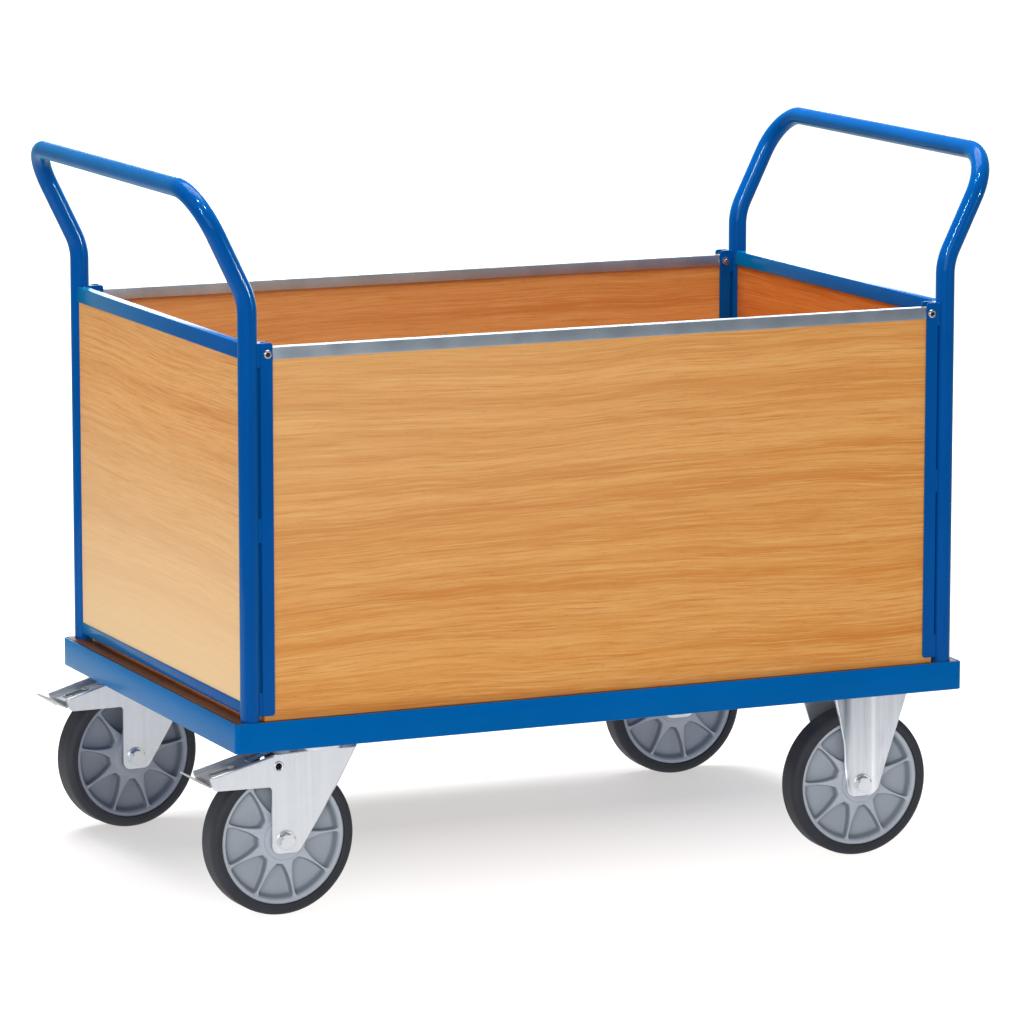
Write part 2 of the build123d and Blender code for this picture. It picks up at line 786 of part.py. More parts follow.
castor_holes = swivel_holes + fixed_holes
bolts = [castor_bolt(x, y) for x, y in castor_holes]
washers = [castor_washer(x, y) for x, y in castor_holes]
save("castor_bolts", *bolts, *washers)

hub = wheel_hub()
tyre = wheel_tyre()
rollers = wheel_rollers()
axle = axle_bolt_and_nut()
sleeve = axle_sleeve()

swivel_castors = (
    ("front", -1, front_castor_turn, front_left_hub_turn),
    ("rear", 1, rear_castor_turn, rear_left_hub_turn),
)
fork = swivel_fork()
plate = swivel_plate()
pin = king_pin()
king_pins = []
for name, side, turn, hub_turn in swivel_castors:
    stand = Pos(swivel_x, side * castor_y, 0)
    place = stand * Rot(0, 0, turn)
    wheel_place = place * Pos(axle_x, 0, wheel_radius)
    save(f"{name}_swivel_plate", stand * plate)
    king_pins.append(stand * pin)
    save(f"{name}_swivel_fork", place * fork)
    save(f"{name}_swivel_balls", *[place * ball for ball in swivel_balls()])
    save(f"{name}_swivel_axle", *[wheel_place * piece for piece in axle])
    save(f"{name}_swivel_sleeve", wheel_place * sleeve)
    save(f"{name}_brake_rivets", *[place * rivet for rivet in brake_rivets()])
    save(f"{name}_brake_pedal", place * brake_pedal())
    save(f"{name}_brake_shoe", place * brake_shoe())
    save(f"{name}_brake_spring", place * brake_spring())
    save(f"{name}_left_hub", wheel_place * Rot(0, -hub_turn, 0) * hub)
    save(f"{name}_left_tyre", wheel_place * tyre)
    save(f"{name}_left_rollers", *[wheel_place * roller for roller in rollers])

save("king_pins", *king_pins)

fixed_castors = (
    ("front", -1, 0, front_right_hub_turn),
    ("rear", 1, 180, rear_right_hub_turn),
)
fixed_places = []
for name, side, turn, hub_turn in fixed_castors:
    place = Pos(fixed_x, side * castor_y, 0) * Rot(0, 0, turn)
    wheel_place = place * Pos(0, 0, wheel_radius)
    fixed_places.append(wheel_place)
    save(f"{name}_fixed_fork", place * fixed_fork())
    save(f"{name}_right_hub", wheel_place * Rot(0, -hub_turn, 0) * hub)
    save(f"{name}_right_tyre", wheel_place * tyre)
    save(f"{name}_right_rollers", *[wheel_place * roller for roller in rollers])
save("fixed_axles", *[place * piece for place in fixed_places for piece in axle])
save("fixed_sleeves", *[place * sleeve for place in fixed_places])
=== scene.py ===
from math import cos, pi, radians, sin, tan

import bmesh
import bpy
from mathutils import Matrix, Vector


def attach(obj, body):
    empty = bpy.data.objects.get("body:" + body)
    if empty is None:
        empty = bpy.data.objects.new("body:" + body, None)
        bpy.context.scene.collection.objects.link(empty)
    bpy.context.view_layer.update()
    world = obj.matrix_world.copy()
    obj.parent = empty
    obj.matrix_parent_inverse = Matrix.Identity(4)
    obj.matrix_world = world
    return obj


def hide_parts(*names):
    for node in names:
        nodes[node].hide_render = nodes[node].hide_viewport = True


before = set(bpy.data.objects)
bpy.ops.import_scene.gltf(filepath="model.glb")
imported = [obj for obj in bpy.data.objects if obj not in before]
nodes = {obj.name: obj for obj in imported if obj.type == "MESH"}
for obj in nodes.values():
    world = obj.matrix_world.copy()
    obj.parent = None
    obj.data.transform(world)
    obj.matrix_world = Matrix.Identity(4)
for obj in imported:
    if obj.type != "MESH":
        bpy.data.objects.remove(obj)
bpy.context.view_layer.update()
scene = bpy.context.scene
mm = 0.001
print("frame loaded with", len(nodes), "nodes")


# A node tree, whose nodes are fed by value or by link
class Graph:
    def __init__(self, tree, prefix):
        self.tree = tree
        self.prefix = prefix

    def feed(self, node, sockets):
        for name, value in sockets.items():
            socket = node.inputs[name]
            if isinstance(value, bpy.types.NodeSocket):
                self.tree.links.new(value, socket)
            else:
                socket.default_value = value

    def add(self, kind, sockets=None, **settings):
        node = self.tree.nodes.new(kind if "Node" in kind else self.prefix + kind)
        for key, value in settings.items():
            setattr(node, key, value)
        self.feed(node, sockets or {})
        return node.outputs

    def calc(self, kind, first, second):
        return self.add("ShaderNodeMath", {0: first, 1: second}, operation=kind)[0]

    def plus(self, first, second):
        return self.calc("ADD", first, second)

    def times(self, first, second):
        return self.calc("MULTIPLY", first, second)


# A material with one surface, drawn by the place on the piece
class Finish(Graph):
    def __init__(self, name, sockets):
        self.material = bpy.data.materials.new(name)
        self.material.use_nodes = True
        super().__init__(self.material.node_tree, "ShaderNode")
        self.tree.nodes.clear()
        self.out = self.tree.nodes.new("ShaderNodeOutputMaterial")
        self.skin = self.tree.nodes.new("ShaderNodeBsdfPrincipled")
        self.feed(self.skin, sockets)
        self.feed(self.out, {"Surface": self.skin.outputs["BSDF"]})
        self.place = self.add("TexCoord")["Object"]

    def noise(self, scale, detail=3.0, roughness=0.5, stretch=(1, 1, 1), place=None):
        place = place or self.place
        if stretch != (1, 1, 1):
            place = self.add("Mapping", {"Vector": place, "Scale": stretch})["Vector"]
        sockets = {"Vector": place, "Scale": scale, "Detail": detail, "Roughness": roughness}
        return self.add("TexNoise", sockets)["Fac"]

    def ramp(self, value, stops):
        node = self.tree.nodes.new("ShaderNodeValToRGB")
        self.feed(node, {"Fac": value})
        slots = node.color_ramp.elements
        while len(slots) < len(stops):
            slots.new(1.0)
        for slot, (place, color) in zip(slots, stops):
            slot.position = place
            slot.color = (*color, 1.0)
        return node.outputs["Color"]

    def span(self, value, low, high, start=0.0, stop=1.0):
        sockets = {"Value": value, "From Min": start, "From Max": stop, "To Min": low, "To Max": high}
        return self.add("MapRange", sockets)["Result"]

    def mix(self, factor, color, other, kind="MIX"):
        # The numbers are those of the colour sockets
        sockets = {0: factor, 6: color, 7: (*other, 1.0)}
        return self.add("Mix", sockets, data_type="RGBA", blend_type=kind)[2]

    def bump(self, height, strength, distance):
        sockets = {"Height": height, "Strength": strength, "Distance": distance}
        return self.add("Bump", sockets)["Normal"]

    def cover(self, color, roughness, normal):
        self.feed(self.skin, {"Base Color": color, "Roughness": roughness, "Normal": normal})
        return self.material


def powderCoat(name, dark, light, gloss, coat, sheen, tint):
    paint = Finish(name, {
        "Specular IOR Level": gloss, "Specular Tint": (0.05, 0.68, 1.0, 1.0),
        "Coat Weight": coat, "Coat Roughness": 0.04,
        "Sheen Weight": sheen, "Sheen Roughness": 0.35, "Sheen Tint": (*tint, 1.0),
    })
    return paint.cover(
        paint.ramp(paint.noise(7.0), [(0.3, dark), (0.7, light)]),
        paint.span(paint.noise(60.0), 0.16, 0.24, 0.3, 0.7),
        paint.bump(paint.noise(420.0, 2.0, 0.6), 0.06, 0.0003),
    )


# Colours and heights for the grain, for a painted sheen and for painted shade on an inner face
beechWood = {"sway": 0.028, "ripple": 0.0025, "lift": 0.41, "paleFrom": 0.28, "paleTo": 0.62, "halfRun": 0.5,
             "pale": (0.985, 0.70, 0.38), "inside": (0.85, 0.58, 0.41), "faceEdge": 0.001}


def beech(name, along, pale, inner=None, fade=1.0):
    # The third argument paints a sheen: how far the colour is washed out at the foot and at the top.
    # fade is the share of this painted sheen that is left at the far end of the board.
    wood = Finish(name, {"Specular IOR Level": 0.16})
    axes = wood.add("SeparateXYZ", {"Vector": wood.place})
    run, rise, depth = axes[along], axes["Z"], axes["Y" if along == "X" else "X"]

    def grain(runScale, riseScale, detail, roughness, height=rise):
        spot = wood.add("CombineXYZ", {
            "X": wood.times(run, runScale),
            "Y": wood.times(height, riseScale),
            "Z": wood.times(depth, riseScale),
        })
        return wood.noise(1.0, detail, roughness, place=spot["Vector"])

    # The grain lines sway slowly along the board, with fine straight streaks over broad bands.
    sway, ripple, halfRun = beechWood["sway"], beechWood["ripple"], beechWood["halfRun"]
    bent = wood.plus(rise, wood.span(grain(1.7, 3.2, 2.0, 0.4), -sway, sway))
    bent = wood.plus(bent, wood.span(grain(7.0, 14.0, 2.0, 0.5), -ripple, ripple))
    bent = wood.plus(bent, beechWood["lift"])
    dark = grain(7.0, 280.0, 4.0, 0.65, bent)
    fibre = grain(22.0, 650.0, 2.0, 0.6, bent)
    color = wood.ramp(grain(0.55, 29.0, 4.0, 0.5, bent), [
        (0.34, (0.74, 0.272, 0.05)), (0.47, (0.85, 0.375, 0.093)), (0.64, (0.935, 0.46, 0.135)),
    ])
    # Each streak is (pattern, most, start, stop, colour)
    for pattern, most, start, stop, tone in (
        (grain(1.6, 120.0, 4.0, 0.6, bent), 0.5, 0.52, 0.74, (0.64, 0.215, 0.03)),
        (dark, 0.85, 0.47, 0.72, (0.69, 0.222, 0.026)),
        (grain(9.0, 420.0, 3.0, 0.6, bent), 0.75, 0.5, 0.72, (0.94, 0.53, 0.185)),
        (fibre, 0.55, 0.5, 0.75, (0.64, 0.21, 0.028)),
        (grain(95.0, 900.0, 1.0, 0.4, bent), 0.3, 0.66, 0.76, (0.38, 0.14, 0.034)),
    ):
        color = wood.mix(wood.span(pattern, 0.0, most, start, stop), color, tone)
    # Painted sheen: the colour is washed out at the foot and at the top, and less so towards the far end of
    # the board
    share = wood.span(rise, *pale, beechWood["paleFrom"], beechWood["paleTo"])
    share = wood.times(share, wood.span(run, 1.0, fade, -halfRun, halfRun))
    color = wood.mix(share, color, beechWood["pale"])
    if inner:
        # Painted shade: the face towards the load is darkened to a browner colour
        edge = beechWood["faceEdge"]
        face = wood.span(depth, 1.0, 0.0, inner - edge, inner + edge)
        color = wood.mix(face, color, beechWood["inside"], "MULTIPLY")
    return wood.cover(color, wood.span(dark, 0.40, 0.52, 0.3, 0.7), wood.bump(fibre, 0.06, 0.0003))


def deckBrown():
    film = Finish("brownDeckFilm", {"Specular IOR Level": 0.3})
    grain = film.noise(60.0, 3.0, 0.6, (0.4, 6.0, 6.0))
    color = film.ramp(film.noise(9.0, 4.0), [(0.3, (0.115, 0.042, 0.016)), (0.7, (0.185, 0.072, 0.028))])
    return film.cover(
        film.mix(film.span(grain, 0.0, 0.5, 0.45, 0.7), color, (0.09, 0.032, 0.012)),
        film.span(grain, 0.4, 0.55, 0.3, 0.7),
        film.bump(film.noise(700.0, 2.0), 0.15, 0.0003),
    )


def steel(name, dark, light, roughness, share, stretch=(1, 1, 1), spangle=420.0, metal=0.85):
    sheet = Finish(name, {"Metallic": metal})
    cells = sheet.add("TexVoronoi", {"Vector": sheet.place, "Scale": spangle})["Color"]
    tone = sheet.add("SeparateColor", {"Color": cells})["Red"]
    cloud = sheet.times(sheet.noise(22.0, 4.0), 1.0 - share)
    shade = sheet.plus(sheet.times(tone, share), cloud)
    return sheet.cover(
        sheet.ramp(shade, [(0.25, dark), (0.75, light)]),
        sheet.span(shade, roughness - 0.07, roughness + 0.07, 0.25, 0.75),
        sheet.bump(sheet.noise(260.0, 3.0, 0.6, stretch), 0.03, 0.0002),
    )


def pressedZinc(name, draw):
    # The tone of the mesh paints shade along the bends of the pressing and highlights on the sheet edge and
    # the ridge, and fine draw marks run up and down.
    sheet = Finish(name, {"Metallic": 0.82})
    tone = sheet.add("Attribute", attribute_name="tone")["Fac"]
    marks = sheet.noise(150.0, 3.0, 0.6, (1.0, 1.0, 0.03))
    smudge = sheet.noise(26.0, 4.0)
    shade = sheet.plus(tone, sheet.span(marks, -draw, draw, 0.3, 0.7))
    shade = sheet.plus(shade, sheet.span(smudge, -0.05, 0.05, 0.3, 0.7))
    stops = [(0.0, (0.15, 0.18, 0.215)), (0.5, (0.56, 0.60, 0.655)), (1.0, (0.90, 0.935, 0.985))]
    return sheet.cover(
        sheet.ramp(shade, stops),
        sheet.span(smudge, 0.26, 0.36, 0.3, 0.7),
        sheet.bump(marks, 0.03, 0.0002),
    )


def moulded(name, dark, light, roughness, grain, specular=0.4, stops=None):
    # With stops the colour follows the tone of the mesh, which on the hub is painted shade and highlight,
    # clouded by light and flecked by dark.
    body = Finish(name, {"Specular IOR Level": specular})
    cloud = body.noise(18.0, 4.0)
    speck = body.noise(grain, 2.0, 0.6)
    if stops:
        tone = body.add("Attribute", attribute_name="tone")["Fac"]
        color = body.mix(body.span(cloud, 0.0, 0.2, 0.35, 0.7), body.ramp(tone, stops), light)
    else:
        color = body.ramp(cloud, [(0.3, dark), (0.7, light)])
    return body.cover(
        body.mix(body.span(speck, 0.0, 0.2 if stops else 0.18, 0.4, 0.7), color, dark),
        body.span(cloud, roughness - 0.06, roughness + 0.06, 0.3, 0.7),
        body.bump(speck, 0.15, 0.0003),
    )


platformBlue = powderCoat("platformPowderCoat", (0.0, 0.122, 0.43), (0.0, 0.138, 0.475),
                          gloss=0.06, coat=0.02, sheen=0.3, tint=(0.2, 1.0, 0.62))
frameBlue = powderCoat("framePowderCoat", (0.0, 0.083, 0.35), (0.0, 0.096, 0.397),
                       gloss=0.05, coat=0.13, sheen=0.25, tint=(0.02, 0.9, 0.7))
# The boards differ in grain direction, in painted sheen and, on the right board, in painted shade on the
# inner face
beechLong = beech("beechDecorLong", "X", (0.03, 0.25), fade=0.15)
beechCross = beech("beechDecorCross", "Y", (0.95, 0.09))
beechRight = beech("beechDecorRight", "Y", (0.05, 0.0), inner=0.495)
deckFilm = deckBrown()
galvanised = steel("galvanisedSheet", (0.37, 0.44, 0.52), (0.47, 0.54, 0.61),
                   roughness=0.36, share=0.08, stretch=(0.15, 2.0, 2.0), spangle=160.0)
zinc = steel("brightZinc", (0.66, 0.695, 0.735), (0.74, 0.775, 0.815),
             roughness=0.26, share=0.05, stretch=(1.0, 1.0, 0.12), metal=0.94)
fixedZinc = pressedZinc("fixedForkZinc", draw=0.1)
swivelZinc = pressedZinc("swivelForkZinc", draw=0.045)
screwSteel = steel("screwSteel", (0.40, 0.42, 0.45), (0.48, 0.50, 0.53),
                   roughness=0.2, share=0.1, metal=0.95)
pedalZinc = steel("pedalZinc", (0.36, 0.38, 0.40), (0.46, 0.48, 0.50),
                  roughness=0.40, share=0.08, stretch=(0.12, 1.0, 1.0), metal=0.55)
# Painted shade: a near black finish for plugs in the screw sockets
paintedSocketShade = steel("oiledSocket", (0.012, 0.013, 0.016), (0.03, 0.032, 0.036),
                    roughness=0.5, share=0.1, metal=0.4)
rubberBlock = moulded("brakeRubber", (0.012, 0.012, 0.013), (0.024, 0.024, 0.026),
                      roughness=0.62, grain=900.0)
# Painted shade and highlight: dark on the steep walls, mid on the pocket floors, light on the ridges and the
# ring
hubPaintedShadeStops = [(0.0, (0.19, 0.215, 0.25)), (0.5, (0.44, 0.49, 0.56)), (1.0, (0.56, 0.615, 0.69))]
hubGrey = moulded("hubPlastic", (0.27, 0.30, 0.345), (0.34, 0.375, 0.43),
                  roughness=0.44, grain=1200.0, stops=hubPaintedShadeStops)
tyreGrey = moulded("tyreRubber", (0.0275, 0.03, 0.0375), (0.041, 0.0445, 0.0555),
                   roughness=0.58, grain=1500.0, specular=0.3)
print("materials ready")


# Mesh pieces are drawn in millimetres
def makeObject(name, mesh):
    # A piece that is named after a node has that name in camel case
    first, *rest = name.split("_")
    name = first + "".join(word.title() for word in rest)
    mesh.name = name
    obj = bpy.data.objects.new(name, mesh)
    scene.collection.objects.link(obj)
    return obj


def outward(mesh):
    work = bmesh.new()
    work.from_mesh(mesh)
    bmesh.ops.recalc_face_normals(work, faces=work.faces)
    work.to_mesh(mesh)
    work.free()
    mesh.shade_smooth()
    return mesh


def loft(rings, wrap=False, caps=True):
    count = len(rings[0])
    points = [Vector(point) * mm for ring in rings for point in ring]
    faces = []
    for i in range(len(rings) if wrap else len(rings) - 1):
        a, b = i * count, (i + 1) % len(rings) * count
        for k in range(count):
            n = (k + 1) % count
            faces.append((a + k, a + n, b + n, b + k))
    if caps and not wrap:
        faces.append(tuple(range(count)))
        faces.append(tuple(range(len(points) - count, len(points))))
    mesh = bpy.data.meshes.new("loft")
    mesh.from_pydata(points, [], faces)
    return outward(mesh)


def joinMeshes(meshes):
    work = bmesh.new()
    for mesh in meshes:
        work.from_mesh(mesh)
        bpy.data.meshes.remove(mesh)
    joined = bpy.data.meshes.new("joined")
    work.to_mesh(joined)
    work.free()
    return joined


def bake(obj):
    bpy.context.view_layer.update()
    graph = bpy.context.evaluated_depsgraph_get()
    mesh = bpy.data.meshes.new_from_object(obj.evaluated_get(graph), depsgraph=graph)
    obj.modifiers.clear()
    obj.data = mesh
    mesh.name = obj.name
    return obj


def soften(obj, width, segments=3, angle=35):
    bevel = obj.modifiers.new("softEdges", "BEVEL")
    bevel.width = width * mm
    bevel.segments = segments
    bevel.limit_method = "ANGLE"
    bevel.angle_limit = radians(angle)
    return settle(obj)


def settle(obj):
    # Flat faces keep flat shading beside rounded edges
    obj.data.shade_smooth()
    even = obj.modifiers.new("evenNormals", "WEIGHTED_NORMAL")
    even.mode = "FACE_AREA"
    even.weight = 100
    even.keep_sharp = True
    return bake(obj)


def dress(obj, body, slot, material, *replaced):
    obj.data.materials.clear()
    obj.data.materials.append(material)
    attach(obj, body)
    if replaced:
        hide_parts(*replaced)
    return obj


def cadCopy(node):
    mesh = nodes[node].data.copy()
    work = bmesh.new()
    work.from_mesh(mesh)
    bmesh.ops.remove_doubles(work, verts=work.verts, dist=0.00001)
    bmesh.ops.dissolve_limit(work, angle_limit=radians(1.5), verts=work.verts, edges=work.edges)
    bmesh.ops.recalc_face_normals(work, faces=work.faces)
    work.to_mesh(mesh)
    work.free()
    mesh.shade_smooth()
    return makeObject(node, mesh)


def softCopy(node, width, body, slot, material):
    # A copy of the solid with soft edges
    dress(soften(cadCopy(node), width, 2), body, slot, material, node)


def roundedSection(points, steps=4):
    # Points are (u, v, corner radius), and the outline closes itself.
    outline = []
    for i, (u, v, radius) in enumerate(points):
        here = Vector((u, v))
        if radius == 0:
            outline.append((u, v))
            continue
        back = (Vector(points[i - 1][:2]) - here).normalized()
        ahead = (Vector(points[(i + 1) % len(points)][:2]) - here).normalized()
        half = back.angle(ahead) / 2
        center = here + (back + ahead).normalized() * radius / sin(half)
        first = here + back * radius / tan(half) - center
        last = here + ahead * radius / tan(half) - center
        for k in range(steps + 1):
            spot = first.slerp(last, k / steps)
            outline.append(tuple(center + spot))
    return outline


def turned(profile, steps=48, sharp=25):
    # An entry is (radius, height), or (kind, width across flats, height) where the piece is six-sided.
    crown = {"hex": 0.0, "crownUp": -0.7, "crownDown": 0.7}
    rings = []
    for entry in profile:
        kind, size, height = entry if len(entry) == 3 else ("round", *entry)
        ring = []
        for k in range(steps):
            angle = 2 * pi * k / steps
            radius, level = size, height
            if kind != "round":
                flat = (angle + pi / 6) % (pi / 3) - pi / 6
                radius = size / 2 / cos(flat)
                level = height + (radius - size / 2) * crown[kind]
            ring.append((radius * cos(angle), radius * sin(angle), level))
        rings.append(ring)
    mesh = loft(rings)
    if sharp:
        mesh.set_sharp_from_angle(angle=radians(sharp))
    return mesh


def readLine(points, value):
    # Reads a line of (place, value) points, which is level beyond its ends
    value = min(max(value, points[0][0]), points[-1][0])
    for (p0, v0), (p1, v1) in zip(points, points[1:]):
        if p0 <= value <= p1:
            return v0 + (v1 - v0) * (value - p0) / (p1 - p0)


def setTone(mesh, values):
    tone = mesh.attributes.get("tone") or mesh.attributes.new("tone", "FLOAT", "POINT")
    tone.data.foreach_set("value", values)
    return mesh


def evenTone(mesh, value):
    return setTone(mesh, [value] * len(mesh.vertices))


def latheLoop(profile, steps):
    # A closed profile of (radius, y) pairs, turned about the Y axis.
    rings = []
    for k in range(steps):
        angle = 2 * pi * k / steps
        rings.append([(r * cos(angle), y, r * sin(angle)) for r, y in profile])
    return loft(rings, wrap=True)


# Geometry node trees for what repeats or follows a path
class Maker(Graph):
    def __init__(self, name, inputs):
        super().__init__(bpy.data.node_groups.new(name, "GeometryNodeTree"), "GeometryNode")
        sockets = {"Geometry": "Geometry", **inputs, "Finish": "Material"}
        for label, kind in sockets.items():
            self.tree.interface.new_socket(label, in_out="INPUT", socket_type="NodeSocket" + kind)
        self.tree.interface.new_socket("Geometry", in_out="OUTPUT", socket_type="NodeSocketGeometry")
        self.source = self.tree.nodes.new("NodeGroupInput").outputs
        self.sink = self.tree.nodes.new("NodeGroupOutput")

    def close(self, geometry):
        solid = self.add("RealizeInstances", {"Geometry": geometry})
        done = self.add("SetMaterial", {"Geometry": solid[0], "Material": self.source["Finish"]})
        self.feed(self.sink, {"Geometry": done[0]})
        return self.tree


def runTree(obj, tree, values):
    modifier = obj.modifiers.new(tree.name, "NODES")
    modifier.node_group = tree
    for item in tree.interface.items_tree:
        if item.item_type == "SOCKET" and item.in_out == "INPUT" and item.name in values:
            modifier[item.identifier] = values[item.name]
    return bake(obj)


def fastenerTree():
    maker = Maker("fastenerSet", {"Shape": "Object", "Most Spin": "Float", "Seed": "Int"})
    source = maker.source
    shape = maker.add("ObjectInfo", {"Object": source["Shape"]})
    aim = maker.add("InputNamedAttribute", {"Name": "aim"}, data_type="FLOAT_VECTOR")
    lean = maker.add("FunctionNodeEulerToRotation", {"Euler": aim["Attribute"]})
    spin = maker.add("FunctionNodeRandomValue", {"Seed": source["Seed"]}, data_type="FLOAT")
    number = next(socket for socket in spin if socket.type == "VALUE")
    axis = maker.add("ShaderNodeCombineXYZ", {"Z": maker.times(number, source["Most Spin"])})
    extra = maker.add("FunctionNodeEulerToRotation", {"Euler": axis["Vector"]})
    both = maker.add("FunctionNodeRotateRotation", {
        "Rotation": lean[0], "Rotate By": extra[0],
    }, rotation_space="LOCAL")
    copies = maker.add("InstanceOnPoints", {
        "Points": source["Geometry"], "Instance": shape["Geometry"], "Rotation": both[0],
    })
    return maker.close(copies[0])


def tubeTree():
    maker = Maker("bentTube", {"Tube Radius": "Float", "Round Steps": "Int", "Bend Steps": "Int"})
    source = maker.source
    line = maker.add("MeshToCurve", {"Mesh": source["Geometry"]})
    bend = maker.add("InputNamedAttribute", {"Name": "bend"}, data_type="FLOAT")
    route = maker.add("FilletCurve", {
        "Curve": line[0], "Count": source["Bend Steps"], "Radius": bend["Attribute"],
    }, mode="POLY")
    section = maker.add("CurvePrimitiveCircle", {
        "Resolution": source["Round Steps"], "Radius": source["Tube Radius"],
    })
    tube = maker.add("CurveToMesh", {
        "Curve": route[0], "Profile Curve": section["Curve"], "Fill Caps": True,
    })
    return maker.close(maker.add("SetShadeSmooth", {"Geometry": tube[0]})[0])


def wheelTree():
    maker = Maker("ribbedWheel", {"Rib Count": "Int", "Weld Distance": "Float"})
    source = maker.source
    spots = maker.add("Points", {"Count": source["Rib Count"]})
    part = maker.calc("DIVIDE", maker.add("InputIndex")[0], source["Rib Count"])
    axis = maker.add("ShaderNodeCombineXYZ", {"Y": maker.times(part, 2 * pi)})
    turn = maker.add("FunctionNodeEulerToRotation", {"Euler": axis["Vector"]})
    copies = maker.add("InstanceOnPoints", {
        "Points": spots[0], "Instance": source["Geometry"], "Rotation": turn[0],
    })
    solid = maker.add("RealizeInstances", {"Geometry": copies[0]})
    whole = maker.add("MergeByDistance", {"Geometry": solid[0], "Distance": source["Weld Distance"]})
    return maker.close(maker.add("SetShadeSmooth", {"Geometry": whole[0]})[0])


fasteners = fastenerTree()
bentTube = tubeTree()
ribbedWheel = wheelTree()


def fastenerSet(name, places, shape, mostSpin, seed, slot, material, *replaced):
    # places holds (x, y, z, lean about X) in millimetres and degrees, mostSpin is in radians.
    mesh = bpy.data.meshes.new(name)
    mesh.from_pydata([Vector(p[:3]) * mm for p in places], [], [])
    aim = mesh.attributes.new("aim", "FLOAT_VECTOR", "POINT")
    for item, p in zip(aim.data, places):
        item.vector = (radians(p[3]), 0.0, 0.0)
    sample = makeObject(name + "Shape", shape)
    obj = runTree(makeObject(name, mesh), fasteners, {
        "Shape": sample, "Most Spin": mostSpin, "Seed": seed, "Finish": material,
    })
    bpy.data.objects.remove(sample)
    dress(obj, "chassis", slot, material, *replaced)


# Platform: a folded skirt with its ledge
platform = {"length": 1040.0, "width": 650.0, "corner": 7.0, "bottom": 220.0, "top": 258.0, "wall": 2.5,
            "ledgeWidth": 40.0, "ledgeBottom": 240.0, "ledgeTop": 243.0}


def rectangleRing(inset, height, cornerSteps=10):
    halfX, halfY = platform["length"] / 2 - inset, platform["width"] / 2 - inset
    radius = max(platform["corner"] - inset, 0.5)
    ring = []
    for signX, signY, start in ((1, 1, 0), (-1, 1, 90), (-1, -1, 180), (1, -1, 270)):
        for k in range(cornerSteps + 1):
            angle = radians(start + 90 * k / cornerSteps)
            ring.append((signX * (halfX - radius) + radius * cos(angle),
                         signY * (halfY - radius) + radius * sin(angle), height))
    return ring


def buildSkirt():
    low, high, wall = platform["bottom"], platform["top"], platform["wall"]
    inner = wall + platform["ledgeWidth"]
    ledgeTop, ledgeBottom = platform["ledgeTop"], platform["ledgeBottom"]
    # Once round the fold, as (distance in from the outside, height)
    section = [(0.9, low), (0.3, low + 0.3), (0.0, low + 0.9),
               (0.0, high - 1.0), (0.3, high - 0.3), (1.0, high),
               (wall - 0.7, high), (wall - 0.2, high - 0.2), (wall, high - 0.7),
               (wall, ledgeTop), (inner, ledgeTop), (inner, ledgeBottom), (wall, ledgeBottom),
               (wall, low + 0.6), (wall - 0.6, low)]
    mesh = loft([rectangleRing(inset, height) for inset, height in section], wrap=True)
    skirt = makeObject("platformSkirt", mesh)
    mesh.set_sharp_from_angle(angle=radians(50))
    dress(skirt, "chassis", "blue_paint", platformBlue, "platform_rim")


buildSkirt()
softCopy("deck_board", 0.8, "chassis", "deck_board", deckFilm)
print("platform built")

# End frames: one bent tube each, with a folded rail above and below the panel
endFrame = {"postX": 495.0, "postY": 309.8, "foot": 243.0, "bendZ": 796.0, "barX": 562.8, "barZ": 935.0,
            "lowerBend": 80.0, "upperBend": 62.0, "radius": 12.5}


def buildHandle(node, side):
    x, y, barX = side * endFrame["postX"], endFrame["postY"], side * endFrame["barX"]
    half = [(x, -y, endFrame["foot"], 0.0), (x, -y, endFrame["bendZ"], endFrame["lowerBend"]),
            (barX, -y, endFrame["barZ"], endFrame["upperBend"])]
    route = half + [(px, -py, pz, bend) for px, py, pz, bend in reversed(half)]
    mesh = bpy.data.meshes.new("route")
    edges = [(k, k + 1) for k in range(len(route) - 1)]
    mesh.from_pydata([Vector(p[:3]) * mm for p in route], edges, [])
    bends = mesh.attributes.new("bend", "FLOAT", "POINT")
    for item, p in zip(bends.data, route):
        item.value = p[3] * mm
    tube = runTree(makeObject(node, mesh), bentTube, {
        "Tube Radius": endFrame["radius"] * mm, "Round Steps": 40, "Bend Steps": 18, "Finish": frameBlue,
    })
    dress(tube, "chassis", "blue_paint", frameBlue, node)


def foldedStrip(node, strip, opensDown, alongX, centre, slot, material):
    # A U section with rounded folds, drawn along X or Y
    low, high, half, sheet, reach = (strip[key] for key in ("low", "high", "half", "sheet", "reach"))
    fold, crease, lip, taper = 2.0, 0.7, 0.4, 0.985
    closed, openEnd = (high, low) if opensDown else (low, high)
    inside = closed - sheet if opensDown else closed + sheet
    section = roundedSection([
        (-half, openEnd, lip), (-half, closed, fold), (half, closed, fold), (half, openEnd, lip),
        (half - sheet, openEnd, lip), (half - sheet, inside, crease),
        (sheet - half, inside, crease), (sheet - half, openEnd, lip),
    ], 5)
    middle = (low + high) / 2
    rings = []
    for place, scale in ((-reach, taper), (lip - reach, 1.0), (reach - lip, 1.0), (reach, taper)):
        ring = []
        for u, v in section:
            across, height = centre + u * scale, middle + (v - middle) * scale
            ring.append((place, across, height) if alongX else (across, place, height))
        rings.append(ring)
    mesh = loft(rings)
    mesh.set_sharp_from_angle(angle=radians(40))
    dress(makeObject(node, mesh), "chassis", slot, material, node)


